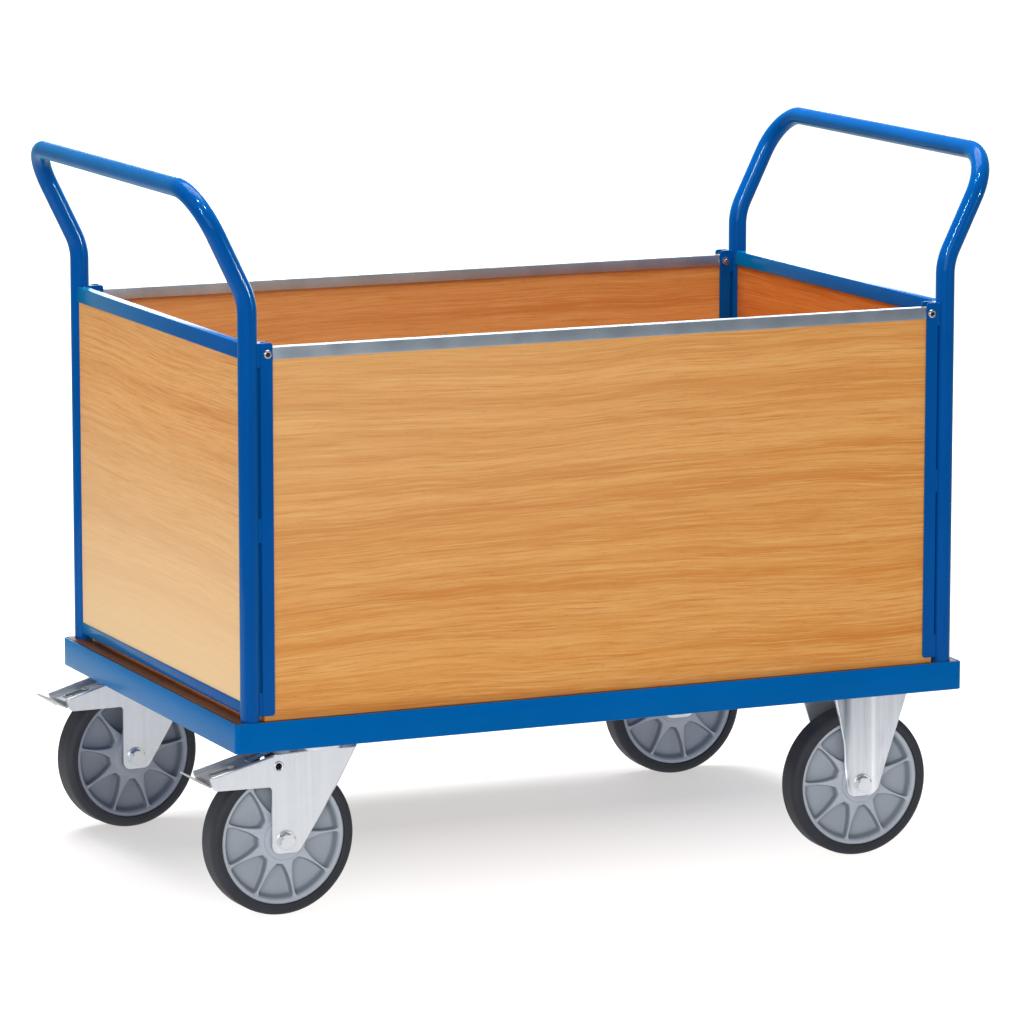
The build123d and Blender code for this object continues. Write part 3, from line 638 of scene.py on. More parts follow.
ends = (("left", -1), ("right", 1))
sides = (("front", -1), ("rear", 1))
corners = [(signX, signY) for signX in (-1, 1) for signY in (-1, 1)]
outlineSigns = ((-1, -1), (1, -1), (1, 1), (-1, 1))
rail = {"half": 7.7, "sheet": 1.5, "reach": 300.6}
topRail = {**rail, "low": 722.0, "high": 742.0}
lowRail = {**rail, "low": 265.0, "high": 281.0}
for end, sign in ends:
    buildHandle(end + "_handle_tube", sign)
    x = sign * endFrame["postX"]
    foldedStrip(end + "_top_rail", topRail, True, False, x, "blue_paint", frameBlue)
    foldedStrip(end + "_bottom_rail", lowRail, False, False, x, "blue_paint", frameBlue)
    softCopy(end + "_end_panel", 0.5, "chassis", "beech_board", beechCross if end == "left" else beechRight)
    for word, side in sides:
        softCopy(word + "_" + end + "_channel", 0.5, "chassis", "blue_paint", frameBlue)

# Long sides: beech boards with a galvanised cap
cap = {"half": 7.7, "sheet": 1.5, "low": 721.0, "high": 737.0, "reach": 463.5}
for word, side in sides:
    softCopy(word + "_side_panel", 0.5, "chassis", "beech_board", beechLong)
    y = side * endFrame["postY"]
    foldedStrip(word + "_top_trim", cap, True, True, y, "galvanised", galvanised)
print("walls built")


# Fasteners
def hexBolt(bolt):
    # Head down at negative heights, the shank runs up from 0.
    across, shank, length, washer = (bolt[key] for key in ("across", "shank", "length", "washer"))
    base = -bolt["washerThick"]
    low = base - bolt["head"]
    rings = [(across * 0.46, low), ("crownDown", across, low), ("hex", across, base - 0.2)]
    if washer:
        rings += [(washer - 0.2, base), (washer, base + 0.2), (washer, -0.2), (washer - 0.2, 0.0)]
    else:
        rings += [(across * 0.48, 0.0)]
    rings += [(shank, 0.0), (shank, length - 0.6), (shank - 0.6, length)]
    return turned(rings)


def buttonScrew(screw):
    # The head points to +Z from 0, the nut sits at the far end of the shank.
    nut = -2 * screw["half"]
    tip = nut - 5.0 - screw["tail"]
    return turned([
        ("hex", 5.0, -2.5), ("hex", 5.0, 2.9), ("hex", 5.5, 3.2), (3.9, 3.4), (4.7, 3.1), (5.4, 2.4),
        (5.85, 1.4), (6.0, 0.5), (5.8, 0.0), (3.0, 0.0), (3.0, nut),
        ("hex", 10.0, nut), ("hex", 10.0, nut - 4.4), ("crownDown", 10.0, nut - 5.0),
        (4.4, nut - 5.0), (3.0, nut - 5.0), (3.0, tip + 0.4), (2.6, tip),
    ])


panelScrew = {"x": 471.25, "z": 727.5, "half": 8.2, "tail": 1.5}
screwY = endFrame["postY"] + panelScrew["half"]
spots = [(end * panelScrew["x"], side * screwY, panelScrew["z"], -90.0 * side) for side, end in corners]
screwShape = buttonScrew(panelScrew)
fastenerSet("panelScrews", spots, screwShape, 0.0, 4, "zinc", screwSteel, "panel_screws")

# A dark plug sits in each socket as painted shade
socketRings = [("hex", 4.9, -2.4), ("hex", 4.9, 1.2), ("hex", 4.0, 1.4), (1.2, 0.9)]
socketShape = turned(socketRings, 36, sharp=None)
fastenerSet("screwSockets", spots, socketShape, 0.0, 4, "zinc", paintedSocketShade)

castor = {"swivelX": -394.5, "fixedX": 381.0, "y": 281.0, "frontTurn": 3.0, "rearTurn": 8.0,
          "offset": 54.0, "axleZ": 100.0}
castorBolt = {"across": 13.0, "head": 5.3, "shank": 4.0, "length": 9.0, "washer": 8.0, "washerThick": 1.6,
              "z": 231.0, "swivelHoles": (40.0, 30.0), "fixedHoles": (84.0, 23.0)}
boltSpots = []
for word, side in sides:
    for kind in ("swivel", "fixed"):
        x, (dx, dy) = castor[kind + "X"], castorBolt[kind + "Holes"]
        for signX, signY in corners:
            boltSpots.append((x + signX * dx, side * castor["y"] + signY * dy, castorBolt["z"], 0.0))
fastenerSet("castorBolts", boltSpots, hexBolt(castorBolt), 2.0, 7, "zinc", zinc, "castor_bolts")

footBolt = {**castorBolt, "length": 13.0, "washer": 0.0, "washerThick": 0.0, "z": 240.0}
postSpots = [(sx * endFrame["postX"], sy * endFrame["postY"], footBolt["z"], 0.0) for sx, sy in corners]
fastenerSet("postFootBolts", postSpots, hexBolt(footBolt), 2.0, 11, "zinc", zinc, "post_foot_bolts")

weld = {"x": 12.6, "y": 5.2, "radius": 3.1, "ripple": 0.04, "pitch": 2.4, "rows": (265.0, 488.0, 711.0),
        "height": 31.0, "steps": 52, "dome": 1.6}


def weldBead():
    rings = []
    for k in range(weld["steps"] + 1):
        z = weld["height"] * k / weld["steps"]
        end = min(z, weld["height"] - z) / weld["dome"]
        radius = weld["radius"] * min(1.0, (1 - (1 - min(end, 1.0)) ** 2) ** 0.5 * 0.86 + 0.14)
        radius += weld["ripple"] * sin(2 * pi * z / weld["pitch"])
        rings.append((radius, z))
    return turned(rings, 14, sharp=None)


beadSpots = []
for signX, signY in corners:
    x = signX * (endFrame["postX"] - weld["x"])
    for face in (-1, 1):
        for z in weld["rows"]:
            beadSpots.append((x, signY * endFrame["postY"] + face * weld["y"], z, 0.0))
fastenerSet("weldBeads", beadSpots, weldBead(), 6.0, 5, "blue_paint", frameBlue)

seam = {"x": 13.5, "half": 1.3, "deep": 2.0, "corner": 0.4, "low": 265.0, "high": 742.0}
strips = []
for signX, signY in corners:
    x, y = signX * (endFrame["postX"] - seam["x"]), signY * endFrame["postY"]
    section = roundedSection([
        (x + u * seam["half"], y + v * seam["deep"], seam["corner"]) for u, v in outlineSigns
    ], 2)
    strips.append(loft([[(u, v, z) for u, v in section] for z in (seam["low"], seam["high"])]))
strip = makeObject("cornerSeams", joinMeshes(strips))
strip.data.set_sharp_from_angle(angle=radians(50))
dress(strip, "chassis", "blue_paint", frameBlue)

deckScrew = {"firstX": -289.5, "run": 540.5, "gaps": 3, "y": 302.5, "z": 240.0}
deckSpots = []
for k in range(deckScrew["gaps"] + 1):
    x = deckScrew["firstX"] + k * deckScrew["run"] / deckScrew["gaps"]
    deckSpots += [(x, side * deckScrew["y"], deckScrew["z"], 0.0) for side in (-1, 1)]
deckScrewShape = turned([
    ("hex", 2.6, -1.2), ("hex", 2.6, -2.1), (2.4, -2.45), (3.4, -2.0), (3.95, -1.0), (4.0, -0.3),
    (3.8, 0.0), (2.0, 0.0), (2.0, 12.0), (0.6, 13.0),
], 36)
fastenerSet("deckScrews", deckSpots, deckScrewShape, 1.0, 3, "zinc", zinc, "deck_screws")
print("fasteners built")

# Wheels
wheel = {"radius": 100.0, "halfTread": 20.0, "shoulder": 9.0, "ribs": 9, "weld": 0.00002,
         "pocket": 4.2, "ridge": 15.4, "boss": 27.3, "bossTone": 0.9}


def tyreMesh():
    half, top, shoulder = wheel["halfTread"], wheel["radius"], wheel["shoulder"]
    side = [(85.55, 0.0), (85.55, half - 1.5), (85.8, half - 0.7), (86.6, half - 0.15), (87.6, half),
            (88.4, half - 0.25), (89.0, half - 0.3), (89.6, half - 0.05)]
    for k in range(9):
        angle = radians(90 - 90 * k / 8)
        side.append((top - shoulder + shoulder * cos(angle), half - shoulder + shoulder * sin(angle)))
    side += [(top, 6.0), (top, 0.0)]
    return latheLoop(side + [(r, -y) for r, y in reversed(side[1:-1])], 128)


def hubSector():
    # One rib with half a pitch on either side; rows are (radius, pocket height, rib height)
    rows = [
        (15.15, 21.9, 21.9), (15.8, 22.5, 22.5), (26.0, 22.5, 22.5), (26.8, 22.2, 22.2), (27.2, 21.4, 21.4),
        (27.4, 18.4, 18.4), (27.9, 17.5, 17.5), (28.8, 17.1, 17.1), (31.6, 17.0, 17.0), (32.6, 16.7, 16.9),
        (33.2, 15.6, 16.9), (33.7, 13.4, 16.8), (34.2, 10.6, 16.8), (34.9, 8.2, 16.8), (36.0, 6.2, 16.7),
        (37.8, 5.0, 16.7), (41.0, 4.4, 16.6), (46.0, 4.2, 16.4), (52.0, 4.2, 16.1), (58.0, 4.2, 15.8),
        (64.0, 4.2, 15.6), (69.0, 4.3, 15.4), (72.5, 4.7, 15.3), (74.4, 5.6, 15.2), (75.8, 7.2, 15.2),
        (77.0, 9.4, 15.2), (78.2, 11.9, 15.2), (79.4, 14.2, 15.3), (80.2, 15.7, 15.9), (80.8, 16.6, 16.6),
        (81.5, 17.0, 17.0), (84.4, 17.0, 17.0), (85.2, 16.6, 16.6), (85.5, 15.8, 15.8),
    ]
    # Half the width of a rib at a radius
    widths = [(33.2, 6.8), (36.0, 5.7), (41.0, 4.1), (46.0, 2.8), (52.0, 1.9), (58.0, 1.3), (64.0, 1.05),
              (69.0, 1.0), (72.5, 1.1), (75.8, 1.5), (78.2, 2.3), (80.2, 3.8)]
    # Each column is (offset in rib widths, offset in millimetres, share of the rib height)
    columns = [(0.0, 0.0, 1.0), (0.5, 0.0, 1.0), (1.0, -0.35, 1.0), (1.0, -0.1, 0.985), (1.0, 0.1, 0.93),
               (1.0, 0.45, 0.7), (1.0, 0.85, 0.4), (1.0, 1.25, 0.16), (1.0, 1.8, 0.05), (1.0, 2.8, 0.0)]
    # Tone over the height of a wall, from the pocket floor to the ridge: painted shade on the walls, painted
    # highlight on the ridge
    paintedShades = [(0.0, 0.5), (0.05, 0.42), (0.2, 0.08), (0.8, 0.12), (0.9, 0.75), (1.0, 1.0)]

    def paintedShadeAt(radius, height):
        if radius < wheel["boss"]:
            return wheel["bossTone"]
        return readLine(paintedShades, (height - wheel["pocket"]) / (wheel["ridge"] - wheel["pocket"]))

    halfPitch = pi / wheel["ribs"]
    halfRings = []
    for share, extra, lift in columns + [(None, k / 3, 0.0) for k in (1, 2, 3)]:
        ring = []
        for radius, pocket, ribTop in rows:
            half, reach = readLine(widths, radius), min(max(radius, widths[0][0]), widths[-1][0])
            rim = (half + columns[-1][1]) / reach
            angle = rim + (halfPitch - rim) * extra
            if share is not None:
                angle = (share * half + extra) / reach
            ring.append((radius, pocket + (ribTop - pocket) * lift, angle))
        halfRings.append(ring)
    rings, values = [], []
    for sign, source in ((-1, reversed(halfRings[1:])), (1, halfRings)):
        for ring in source:
            front = [(r * cos(sign * a), y, r * sin(sign * a)) for r, y, a in reversed(ring)]
            back = [(x, -y, z) for x, y, z in reversed(front)]
            rings.append(front + back)
            shades = [paintedShadeAt(r, y) for r, y, a in reversed(ring)]
            values += shades + shades[::-1]
    return setTone(loft(rings, caps=False), values)


def axleMesh():
    # Head, washer, shank, washer and nut
    mesh = turned([
        (8.4, -34.5), ("crownDown", 19.0, -34.5), ("hex", 19.0, -29.4),
        (12.2, -29.4), (12.5, -29.1), (12.5, -27.3), (12.2, -27.0), (6.0, -27.0), (6.0, 27.0),
        (12.2, 27.0), (12.5, 27.3), (12.5, 28.7), (12.2, 29.0), ("hex", 19.0, 29.0), ("crownUp", 19.0, 37.0),
        (8.4, 37.0), (6.0, 37.0), (6.0, 39.4), (5.4, 40.0),
    ])
    mesh.transform(Matrix.Rotation(radians(-90), 4, "X"))
    return mesh


def castorPlace(end, side):
    # Where a castor stands, and how far it is turned at rest
    x, turn = castor["fixedX"], 0.0
    if end == "left":
        x, turn = castor["swivelX"], castor["frontTurn" if side < 0 else "rearTurn"]
    return Matrix.Translation((x * mm, side * castor["y"] * mm, 0)) @ Matrix.Rotation(radians(turn), 4, "Z")


def wheelPlace(end, side):
    back = -castor["offset"] if end == "left" else 0.0
    return castorPlace(end, side) @ Matrix.Translation((back * mm, 0, castor["axleZ"] * mm))


ribTurns = {("left", -1): 2.3, ("left", 1): 8.5, ("right", -1): 17.9, ("right", 1): 1.4}
axles = []
for (end, side), ribTurn in ribTurns.items():
    word = "front" if side < 0 else "rear"
    body = word + ("_swivel_wheel" if end == "left" else "_fixed_wheel")
    place = wheelPlace(end, side)
    corner = word + "_" + end
    tyre = makeObject(corner + "_tyre", tyreMesh())
    tyre.data.transform(place)
    dress(tyre, body, "tyre", tyreGrey, corner + "_tyre")
    hub = runTree(makeObject(corner + "_hub", hubSector()), ribbedWheel, {
        "Rib Count": wheel["ribs"], "Weld Distance": wheel["weld"], "Finish": hubGrey,
    })
    hub.data.transform(place @ Matrix.Rotation(radians(-ribTurn), 4, "Y"))
    outward(hub.data)
    hub.data.set_sharp_from_angle(angle=radians(55))
    dress(hub, body, "hub_plastic", hubGrey, corner + "_hub")
    # The rear fixed castor is the front one turned round
    shaft = axleMesh()
    shaft.transform(place @ Matrix.Rotation(radians(180 if (end, side) == ("right", 1) else 0), 4, "Z"))
    if end == "left":
        dress(makeObject(corner + "_axle", shaft), word + "_swivel", "zinc", zinc, word + "_swivel_axle")
    else:
        axles.append(shaft)
dress(makeObject("fixedAxles", joinMeshes(axles)), "chassis", "zinc", zinc, "fixed_axles")
print("wheels built")


# Castor forks, plates and brakes
def carve(obj, cutters):
    # Takes closed meshes out of a piece
    tool = makeObject("carvingTool", joinMeshes(cutters))
    cut = obj.modifiers.new("carve", "BOOLEAN")
    cut.operation = "DIFFERENCE"
    cut.solver = "EXACT"
    cut.object = tool
    bake(obj)
    bpy.data.objects.remove(tool)


def rod(start, stop, radius, steps=20):
    # A round rod with domed ends, between two points of the same Y
    along = (Vector(stop) - Vector(start)).normalized()
    over = Vector((0, 1, 0)).cross(along).normalized()
    side = along.cross(over)
    dome = [(radius * cos(a), radius * sin(a)) for a in (0.15, 0.5, 1.0)] + [(0.0, radius)]
    rings = []
    for place, sizes in ((start, [(-shift, size) for shift, size in dome]), (stop, dome[::-1])):
        for shift, size in sizes:
            ring = []
            for k in range(steps):
                angle = 2 * pi * k / steps
                ring.append(Vector(place) + along * shift + (over * cos(angle) + side * sin(angle)) * size)
            rings.append(ring)
    return loft(rings)


swivelFork = {"crownZ": 213.0, "fold": 5.0, "outer": 27.0, "noseX": 38.0, "tone": 0.78, "creaseX": -24.0,
              "creaseLow": 134.0, "creaseHigh": 204.0, "creaseRadius": 6.0, "creaseDepth": 0.8,
              "lipStart": (-72.0, 209.5), "lipEnd": (-155.0, 189.5), "lipRadius": 2.1, "lipInset": 0.9}


def foldCrown(obj, place):
    # Rounds the outer edge of the crown, where the sheet is folded down
    work = bmesh.new()
    work.from_mesh(obj.data)
    back = place.inverted()
    picked = []
    for edge in work.edges:
        tips = [back @ vert.co / mm for vert in edge.verts]
        if not edge.is_convex or any(abs(p.z - swivelFork["crownZ"]) > 0.2 for p in tips):
            continue
        onSide = all(abs(p.y) > swivelFork["outer"] - 0.3 for p in tips)
        if onSide or all(p.x > swivelFork["noseX"] for p in tips):
            picked.append(edge)
    bmesh.ops.bevel(work, geom=picked, offset=swivelFork["fold"] * mm, offset_type="OFFSET", segments=5,
                    profile=0.5, affect="EDGES", clamp_overlap=True)
    work.to_mesh(obj.data)
    work.free()


def buildSwivelFork(word, place):
    fork = cadCopy(word + "_swivel_fork")
    outer, radius, depth = swivelFork["outer"], swivelFork["creaseRadius"], swivelFork["creaseDepth"]
    cutters, lips = [], []
    for sign in (-1, 1):
        y = sign * (outer + radius - depth)
        low, high = [(swivelFork["creaseX"], y, swivelFork[key]) for key in ("creaseLow", "creaseHigh")]
        cutters.append(rod(low, high, radius))
        y = sign * (outer - swivelFork["lipInset"])
        start, stop = [(x, y, z) for x, z in (swivelFork["lipStart"], swivelFork["lipEnd"])]
        lips.append(rod(start, stop, swivelFork["lipRadius"]))
    for mesh in cutters + lips:
        mesh.transform(place)
    carve(fork, cutters)
    foldCrown(fork, place)
    soften(fork, 0.7, 2)
    fork.data = joinMeshes([fork.data.copy()] + lips)
    settle(fork)
    evenTone(fork.data, swivelFork["tone"])
    dress(fork, word + "_swivel", "zinc", swivelZinc, word + "_swivel_fork")


pedal = {"slotX": -131.5, "slotLength": 31.0, "slotWidth": 11.0, "cutLow": 170.0, "cutHigh": 212.0,
         "frontX": -158.0, "frontZ": 186.0, "slope": 0.24, "rim": 1.1, "rimOut": 2.2, "rimSteps": 12}


def slotOutline(grow, steps=10):
    # A slot with round ends, in the plan of the pedal
    half, radius = pedal["slotLength"] / 2, pedal["slotWidth"] / 2 + grow
    straight = half - pedal["slotWidth"] / 2
    outline = []
    for sign, start in ((1, -90), (-1, 90)):
        for k in range(steps + 1):
            angle = radians(start + 180 * k / steps)
            outline.append((pedal["slotX"] + sign * straight + radius * cos(angle), radius * sin(angle)))
    return outline


def buildPedal(word, place):
    piece = cadCopy(word + "_brake_pedal")
    levels = (pedal["cutLow"], pedal["cutHigh"])
    cutter = loft([[(x, y, z) for x, y in slotOutline(0.0)] for z in levels])
    cutter.transform(place)
    carve(piece, [cutter])
    soften(piece, 0.4, 2)
    slope, radius = pedal["slope"], pedal["rim"]
    up = Vector((-slope, 0.0, 1.0)).normalized()
    turns = [2 * pi * k / pedal["rimSteps"] for k in range(pedal["rimSteps"])]
    rings = []
    for (x, y), (ox, oy) in zip(slotOutline(pedal["rimOut"]), slotOutline(pedal["rimOut"] + 1.0)):
        out = Vector((ox - x, oy - y, slope * (ox - x)))
        centre = Vector((x, y, pedal["frontZ"] + slope * (x - pedal["frontX"])))
        rings.append([centre + (out * cos(turn) + up * sin(turn)) * radius for turn in turns])
    rim = loft(rings, wrap=True)
    rim.transform(place)
    piece.data = joinMeshes([piece.data.copy(), rim])
    settle(piece)
    dress(piece, word + "_brake", "zinc", pedalZinc, word + "_brake_pedal")


fixedFork = {"outer": 27.0, "sheet": 3.0, "footRadius": 11.0, "bendX": 15.0, "flange": 11.0,
             "flangeDrop": 5.0, "lean": 7.0, "ridge": 1.4, "ridgeWidth": 2.6, "fold": 6.0, "clear": -20.6,
             "clearFrom": 180.0, "pressFrom": 92.0, "pressRun": 36.0, "footZ": 83.0, "topZ": 231.0,
             "leftEdge": [(83.0, -22.0), (154.5, -26.0), (231.0, -42.0)],
             "rightEdge": [(83.0, 20.0), (231.0, 74.0)],
             "heights": [83.0, 83.4, 84.4, 86.0, 88.4, 91.0, 94.0, 99.0, 106.0, 114.0, 122.0, 131.0, 140.0,
                         148.0, 154.5, 161.0, 170.0, 180.0, 190.0, 200.0, 210.0, 219.0, 225.0, 227.5, 229.3,
                         230.5, 231.0]}
# Painted shade along the bend near the back edge, painted highlight on the sheet edge and on the ridge, and
# painted shade deepening towards the top
legPaintedShades = {"edge": 1.2, "inside": 0.85,
            "across": [(-44.0, 0.34), (-31.0, 0.30), (-26.0, 0.12), (-22.0, 0.28), (-18.0, 0.55),
                       (-12.0, 0.68), (2.0, 0.66), (10.0, 0.60), (13.0, 0.74), (15.0, 0.98), (17.5, 0.82),
                       (25.0, 0.72), (28.0, 0.62), (31.0, 0.74), (74.0, 0.76)],
            "upwards": [(83.0, 0.14), (115.0, 0.08), (150.0, 0.0), (231.0, -0.13)]}


def legPaintedShade(x, z, left):
    # Painted highlight on the sheet edge; elsewhere painted shade and highlight across and up the leg
    if x - left < legPaintedShades["edge"]:
        return 1.0
    return readLine(legPaintedShades["across"], x) + readLine(legPaintedShades["upwards"], z)


def legColumns(left, right, bend):
    # Places across one leg, close together at the back edge and at the ridge
    back = (-34.0, -30.0, -27.5, -25.5, -23.0, -20.5, -18.0, -13.0)
    columns = [left + s for s in (0.0, 1.1, 1.6, 3.2)]
    columns += [max(s, left + 3.4 + 0.1 * k) for k, s in enumerate(back)]
    columns += [columns[-1] + (bend - 5.0 - columns[-1]) * s for s in (0.35, 0.7)]
    columns += [bend + s for s in (-5.0, -3.5, -2.2, -1.1, 0.0, 1.1, 2.2, 3.5, 5.0)]
    return columns + [bend + 5.0 + (right - bend - 5.0) * s for s in (0.3, 0.6, 0.85, 1.0)]


def fixedLeg():
    # One pressed leg: both edges lean in towards the wheel, with a ridge down the front of the flat
    fork = fixedFork
    corner, crown = fork["footRadius"], fork["fold"]
    rings, paintedShades = [], []
    for z in fork["heights"]:
        rise = max(fork["footZ"] + corner - z, 0.0)
        inset = corner - (corner * corner - rise * rise) ** 0.5
        left, right = readLine(fork["leftEdge"], z) + inset, readLine(fork["rightEdge"], z) - inset
        press = min(max((z - fork["pressFrom"]) / fork["pressRun"], 0.0), 1.0)
        press = press * press * (3 - 2 * press)
        bend = min(fork["bendX"], right - 5.0)
        fold = max(z - fork["topZ"] + crown, 0.0)
        shift = crown - (crown ** 2 - fold ** 2) ** 0.5
        face = []
        for x in legColumns(left, right, bend):
            drop = fork["flangeDrop"] * max(1 - (x - left) / fork["flange"], 0.0) ** 2
            lean = max(x - bend, 0.0) ** 2 / (max(x - bend, 0.0) + 3.0) * tan(radians(fork["lean"]))
            ridge = fork["ridge"] * 2.718 ** -(((x - bend) / fork["ridgeWidth"]) ** 2)
            face.append((x, -fork["outer"] + shift + press * (drop + lean - ridge), z))
            paintedShades.append(legPaintedShade(x, z, left))
        paintedShades += [legPaintedShades["inside"]] * len(face)
        # The inner side stays clear of the tyre, so the pressed edges are thinner there.
        limit = fork["clear"] + max(z - fork["clearFrom"], 0.0) * 0.5
        rings.append(face + [(x, min(y + fork["sheet"], limit), z) for x, y, z in reversed(face)])
    return setTone(loft(rings), paintedShades)


fixedPlate = {"half": (95.0, 38.0), "corner": 8.0, "tone": 0.8,
              "levels": ((231.0, 0.996), (231.4, 1.0), (234.6, 1.0), (235.0, 0.996))}


def buildFixedFork(word, place):
    halfX, halfY = fixedPlate["half"]
    outline = roundedSection([(u * halfX, v * halfY, fixedPlate["corner"]) for u, v in outlineSigns], 6)
    plate = [[(x * scale, y * scale, z) for x, y in outline] for z, scale in fixedPlate["levels"]]
    pieces = [evenTone(loft(plate), fixedPlate["tone"])]
    for turn in (0, 180):
        leg = fixedLeg()
        leg.transform(Matrix.Rotation(radians(turn), 4, "Z"))
        pieces.append(leg)
    mesh = joinMeshes(pieces)
    mesh.transform(place)
    fork = soften(makeObject(word + "_fixed_fork", mesh), 0.6, 2, 50)
    dress(fork, "chassis", "zinc", fixedZinc, word + "_fixed_fork")


# A rolled eyelet on each side of the fork, as (radius, distance from the middle), where the pedal hangs
eyelet = {"x": -64.0, "z": 197.0,
          "profile": [(4.0, 21.5), (5.4, 21.5), (5.4, 27.0), (6.8, 27.0), (7.0, 27.3), (6.8, 27.8),
                      (6.2, 28.15), (5.4, 28.2), (4.7, 27.9), (4.2, 27.2), (4.0, 26.2)]}


def buildEyelets(word, place):
    rings = []
    for sign in (-1, 1):
        ring = latheLoop([(r, sign * y) for r, y in eyelet["profile"]], 40)
        ring.transform(place @ Matrix.Translation((eyelet["x"] * mm, 0, eyelet["z"] * mm)))
        rings.append(ring)
    rivets = makeObject(word + "_brake_rivets", joinMeshes(rings))
    rivets.data.shade_smooth()
    dress(rivets, word + "_swivel", "zinc", zinc, word + "_brake_rivets")


for word, side in sides:
    place = castorPlace("left", side)
    buildSwivelFork(word, place)
    buildPedal(word, place)
    buildFixedFork(word, castorPlace("right", side))
    softCopy(word + "_swivel_plate", 0.5, "chassis", "zinc", zinc)
    softCopy(word + "_brake_shoe", 1.0, word + "_brake", "brake_rubber", rubberBlock)
    softCopy(word + "_brake_spring", 0.2, word + "_swivel", "zinc", zinc)
    buildEyelets(word, place)
print("castors built")

# Nodes that keep their shape take a finish
kept = {"swivel_end_member": platformBlue, "fixed_end_member": platformBlue}
bare = ["king_pins", "fixed_sleeves"]
for word, side in sides:
    bare += [word + tail for tail in ("_swivel_balls", "_swivel_sleeve", "_left_rollers", "_right_rollers")]
kept.update({node: zinc for node in bare})
for node, material in kept.items():
    nodes[node].data.materials.clear()
    nodes[node].data.materials.append(material)

# Studio: a white sweep, soft boxes and the camera of the photograph
sweep = {"halfWidth": 9.0, "front": -11.0, "back": 5.0, "bend": 2.0, "height": 6.0, "bendSteps": 16}
# How strongly the paper glows: under the trolley, in the open, in reflections and in bounced light
glows = {"shade": 0.155, "open": 0.6, "ahead": 0.55, "near": 0.66, "far": 0.1, "bounce": 0.38,
         "skyRange": (0.46, 0.7), "aheadRange": (-0.27, 0.12), "mirrorRange": (1.2, 3.2)}


def buildSweep():
    back, bend, steps = sweep["back"], sweep["bend"], sweep["bendSteps"]
    line = [(sweep["front"], 0.0), (back - bend, 0.0)]
    for k in range(1, steps + 1):
        angle = radians(90 * k / steps)
        line.append((back - bend + bend * sin(angle), bend * (1 - cos(angle))))
    line.append((back, sweep["height"]))
    points = [(sign * sweep["halfWidth"], y, z) for sign in (-1, 1) for y, z in line]
    count = len(line)
    faces = [(k, k + count, k + count + 1, k + 1) for k in range(count - 1)]
    mesh = bpy.data.meshes.new("studioSweep")
    mesh.from_pydata(points, [], faces)
    mesh.shade_smooth()
    paper = Finish("studioWhite", {
        "Roughness": 0.9, "Specular IOR Level": 0.0, "Emission Color": (1.0, 0.975, 0.96, 1.0),
    })
    # The paper glows where it is seen, less under the trolley.
    # In reflections it is lit near the trolley only.
    sky = paper.add("AmbientOcclusion", {"Distance": 0.8}, samples=16)["AO"]
    depth = paper.add("SeparateXYZ", {"Vector": paper.place})["Y"]
    openGlow = paper.span(sky, glows["shade"], glows["open"], *glows["skyRange"])
    aheadGlow = paper.span(depth, glows["ahead"], glows["shade"], *glows["aheadRange"])
    path = paper.add("LightPath")
    shown = paper.times(paper.calc("MAXIMUM", openGlow, aheadGlow), path["Is Camera Ray"])
    reach = paper.add("VectorMath", {0: paper.place}, operation="LENGTH")["Value"]
    mirrored = paper.span(reach, glows["near"], glows["far"], *glows["mirrorRange"])
    mirrored = paper.times(mirrored, path["Is Glossy Ray"])
    bounce = paper.times(glows["bounce"], paper.calc("SUBTRACT", 1.0, path["Is Glossy Ray"]))
    tints = [(0.3, (0.30, 0.298, 0.296)), (0.7, (0.32, 0.318, 0.316))]
    paper.feed(paper.skin, {
        "Base Color": paper.ramp(paper.noise(1.5), tints),
        "Emission Strength": paper.plus(shown, paper.plus(mirrored, bounce)),
    })
    # From behind and below one looks through the paper
    hidden = paper.add("NewGeometry")["Backfacing"]
    clear = paper.add("BsdfTransparent")["BSDF"]
    both = paper.add("MixShader", {"Fac": hidden, 1: paper.skin.outputs["BSDF"], 2: clear})
    paper.feed(paper.out, {"Surface": both["Shader"]})
    mesh.materials.append(paper.material)
    makeObject("studioSweep", mesh)


buildSweep()


def onlyFor(name, pieces, state):
    # A light group whose members are lit alone, or left out
    group = bpy.data.collections.new(name)
    for piece in pieces:
        group.objects.link(bpy.data.objects[piece])
    for item in group.collection_objects:
        item.light_linking.link_state = state
    return group


tubeGroup = onlyFor("bentTubes", ("leftHandleTube", "rightHandleTube"), "INCLUDE")
bedGroup = onlyFor("bedInside", ("rearSidePanel", "rightEndPanel"), "INCLUDE")
bedShade = onlyFor("bedShade", ("rearSidePanel", "rightEndPanel", "rearLeftHub"), "EXCLUDE")


def softBox(name, place, target, size, power, group=None):
    data = bpy.data.lights.new(name, "AREA")
    data.shape = "RECTANGLE"
    data.size, data.size_y = size
    data.energy = power
    obj = bpy.data.objects.new(name, data)
    obj.visible_camera = False
    obj.visible_diffuse = group != tubeGroup
    if group:
        obj.light_linking.receiver_collection = group
    obj.location = place
    obj.rotation_euler = (Vector(target) - Vector(place)).to_track_quat("-Z", "Y").to_euler()
    scene.collection.objects.link(obj)


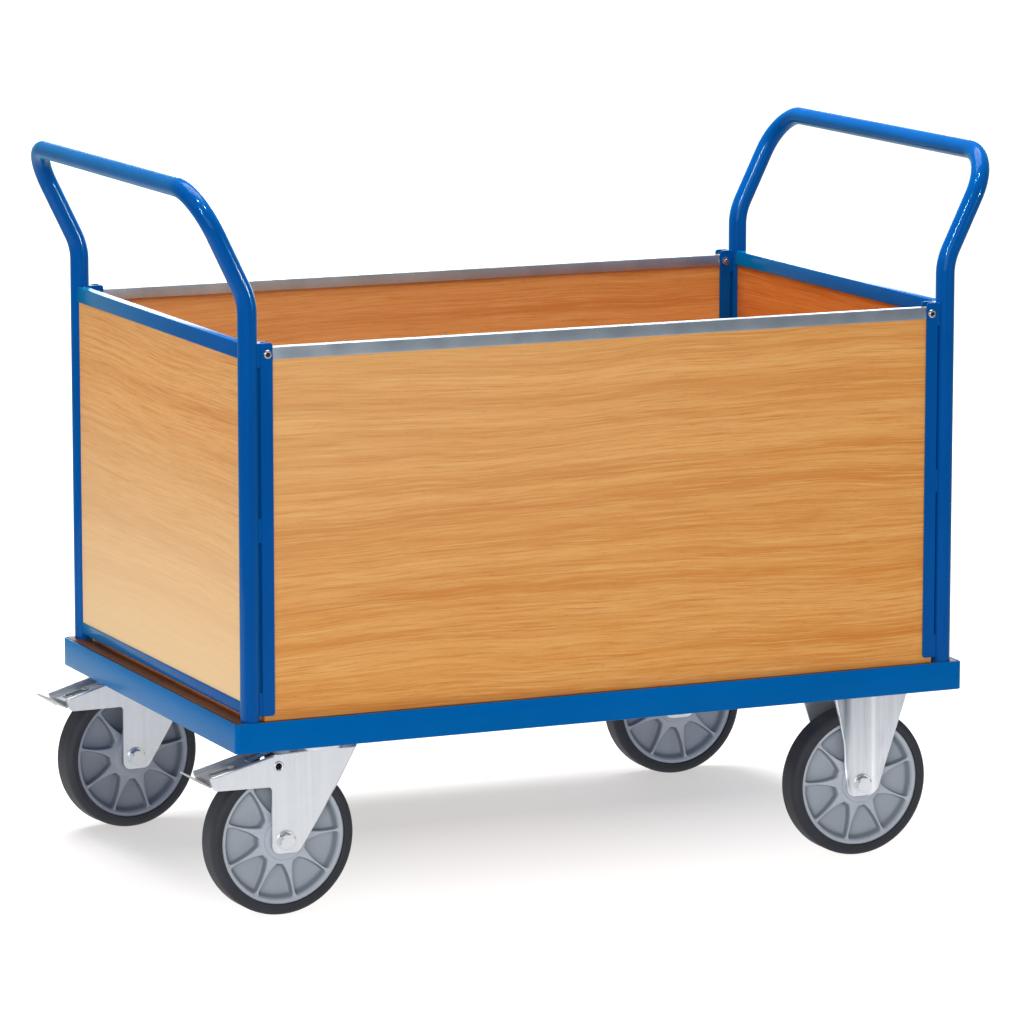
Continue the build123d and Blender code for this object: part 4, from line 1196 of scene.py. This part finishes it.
softBox("topBox", (0.15, 0.35, 3.4), (0.05, 0.0, 0.4), (2.4, 2.0), 160.0)
softBox("backBox", (1.9, 3.7, 1.3), (0.0, 0.0, 0.6), (4.0, 1.5), 80.0)
softBox("leftBox", (-3.0, -0.6, 2.0), (-0.5, 0.0, 0.6), (1.4, 1.2), 4.6)
softBox("lowLeftBox", (-1.35, 0.0, 0.14), (-0.5, 0.0, 0.3), (1.0, 0.24), 1.3)
softBox("frontBox", (-3.1, -5.6, 1.7), (0.0, 0.0, 0.45), (4.0, 2.4), 132.0, bedShade)
softBox("bedBox", (0.1, -0.6, 2.4), (0.1, 0.3, 0.5), (1.8, 1.0), 12.0, bedGroup)
softBox("leftStrip", (-2.17, -2.2, 2.27), (0.53, -0.31, 0.87), (0.35, 0.9), 150.0, tubeGroup)
softBox("rightStrip", (2.1, -2.6, 0.9), (-0.53, -0.31, 0.88), (0.3, 0.5), 85.0, tubeGroup)
softBox("upperSpot", (-0.7, -0.95, 2.6), (-0.53, -0.31, 0.88), (0.22, 0.22), 36.0, tubeGroup)
softBox("upperSpotRight", (0.1, -1.2, 2.6), (0.53, -0.31, 0.88), (0.22, 0.22), 36.0, tubeGroup)

world = bpy.data.worlds.new("studioWorld")
world.use_nodes = True
air = Graph(world.node_tree, "ShaderNode")
seen = air.times(0.7, air.add("LightPath")["Is Camera Ray"])
air.feed(air.tree.nodes["Background"], {"Color": (0.97, 0.98, 1.0, 1.0), "Strength": air.plus(0.3, seen)})
scene.world = world

view = {"place": (-3.0587, -6.8754, 1.7224), "yaw": 24.022, "pitch": 9.627, "lens": 199.64, "sensor": 36.0}
cameraData = bpy.data.cameras.new("photoCamera")
cameraData.lens = view["lens"]
cameraData.sensor_width = view["sensor"]
cameraData.dof.use_dof = False
camera = bpy.data.objects.new("photoCamera", cameraData)
camera.location = view["place"]
camera.rotation_euler = (radians(90 - view["pitch"]), 0.0, radians(-view["yaw"]))
scene.collection.objects.link(camera)
scene.camera = camera
scene.view_settings.view_transform = "Standard"
scene.cycles.use_denoising = True
print("studio ready")
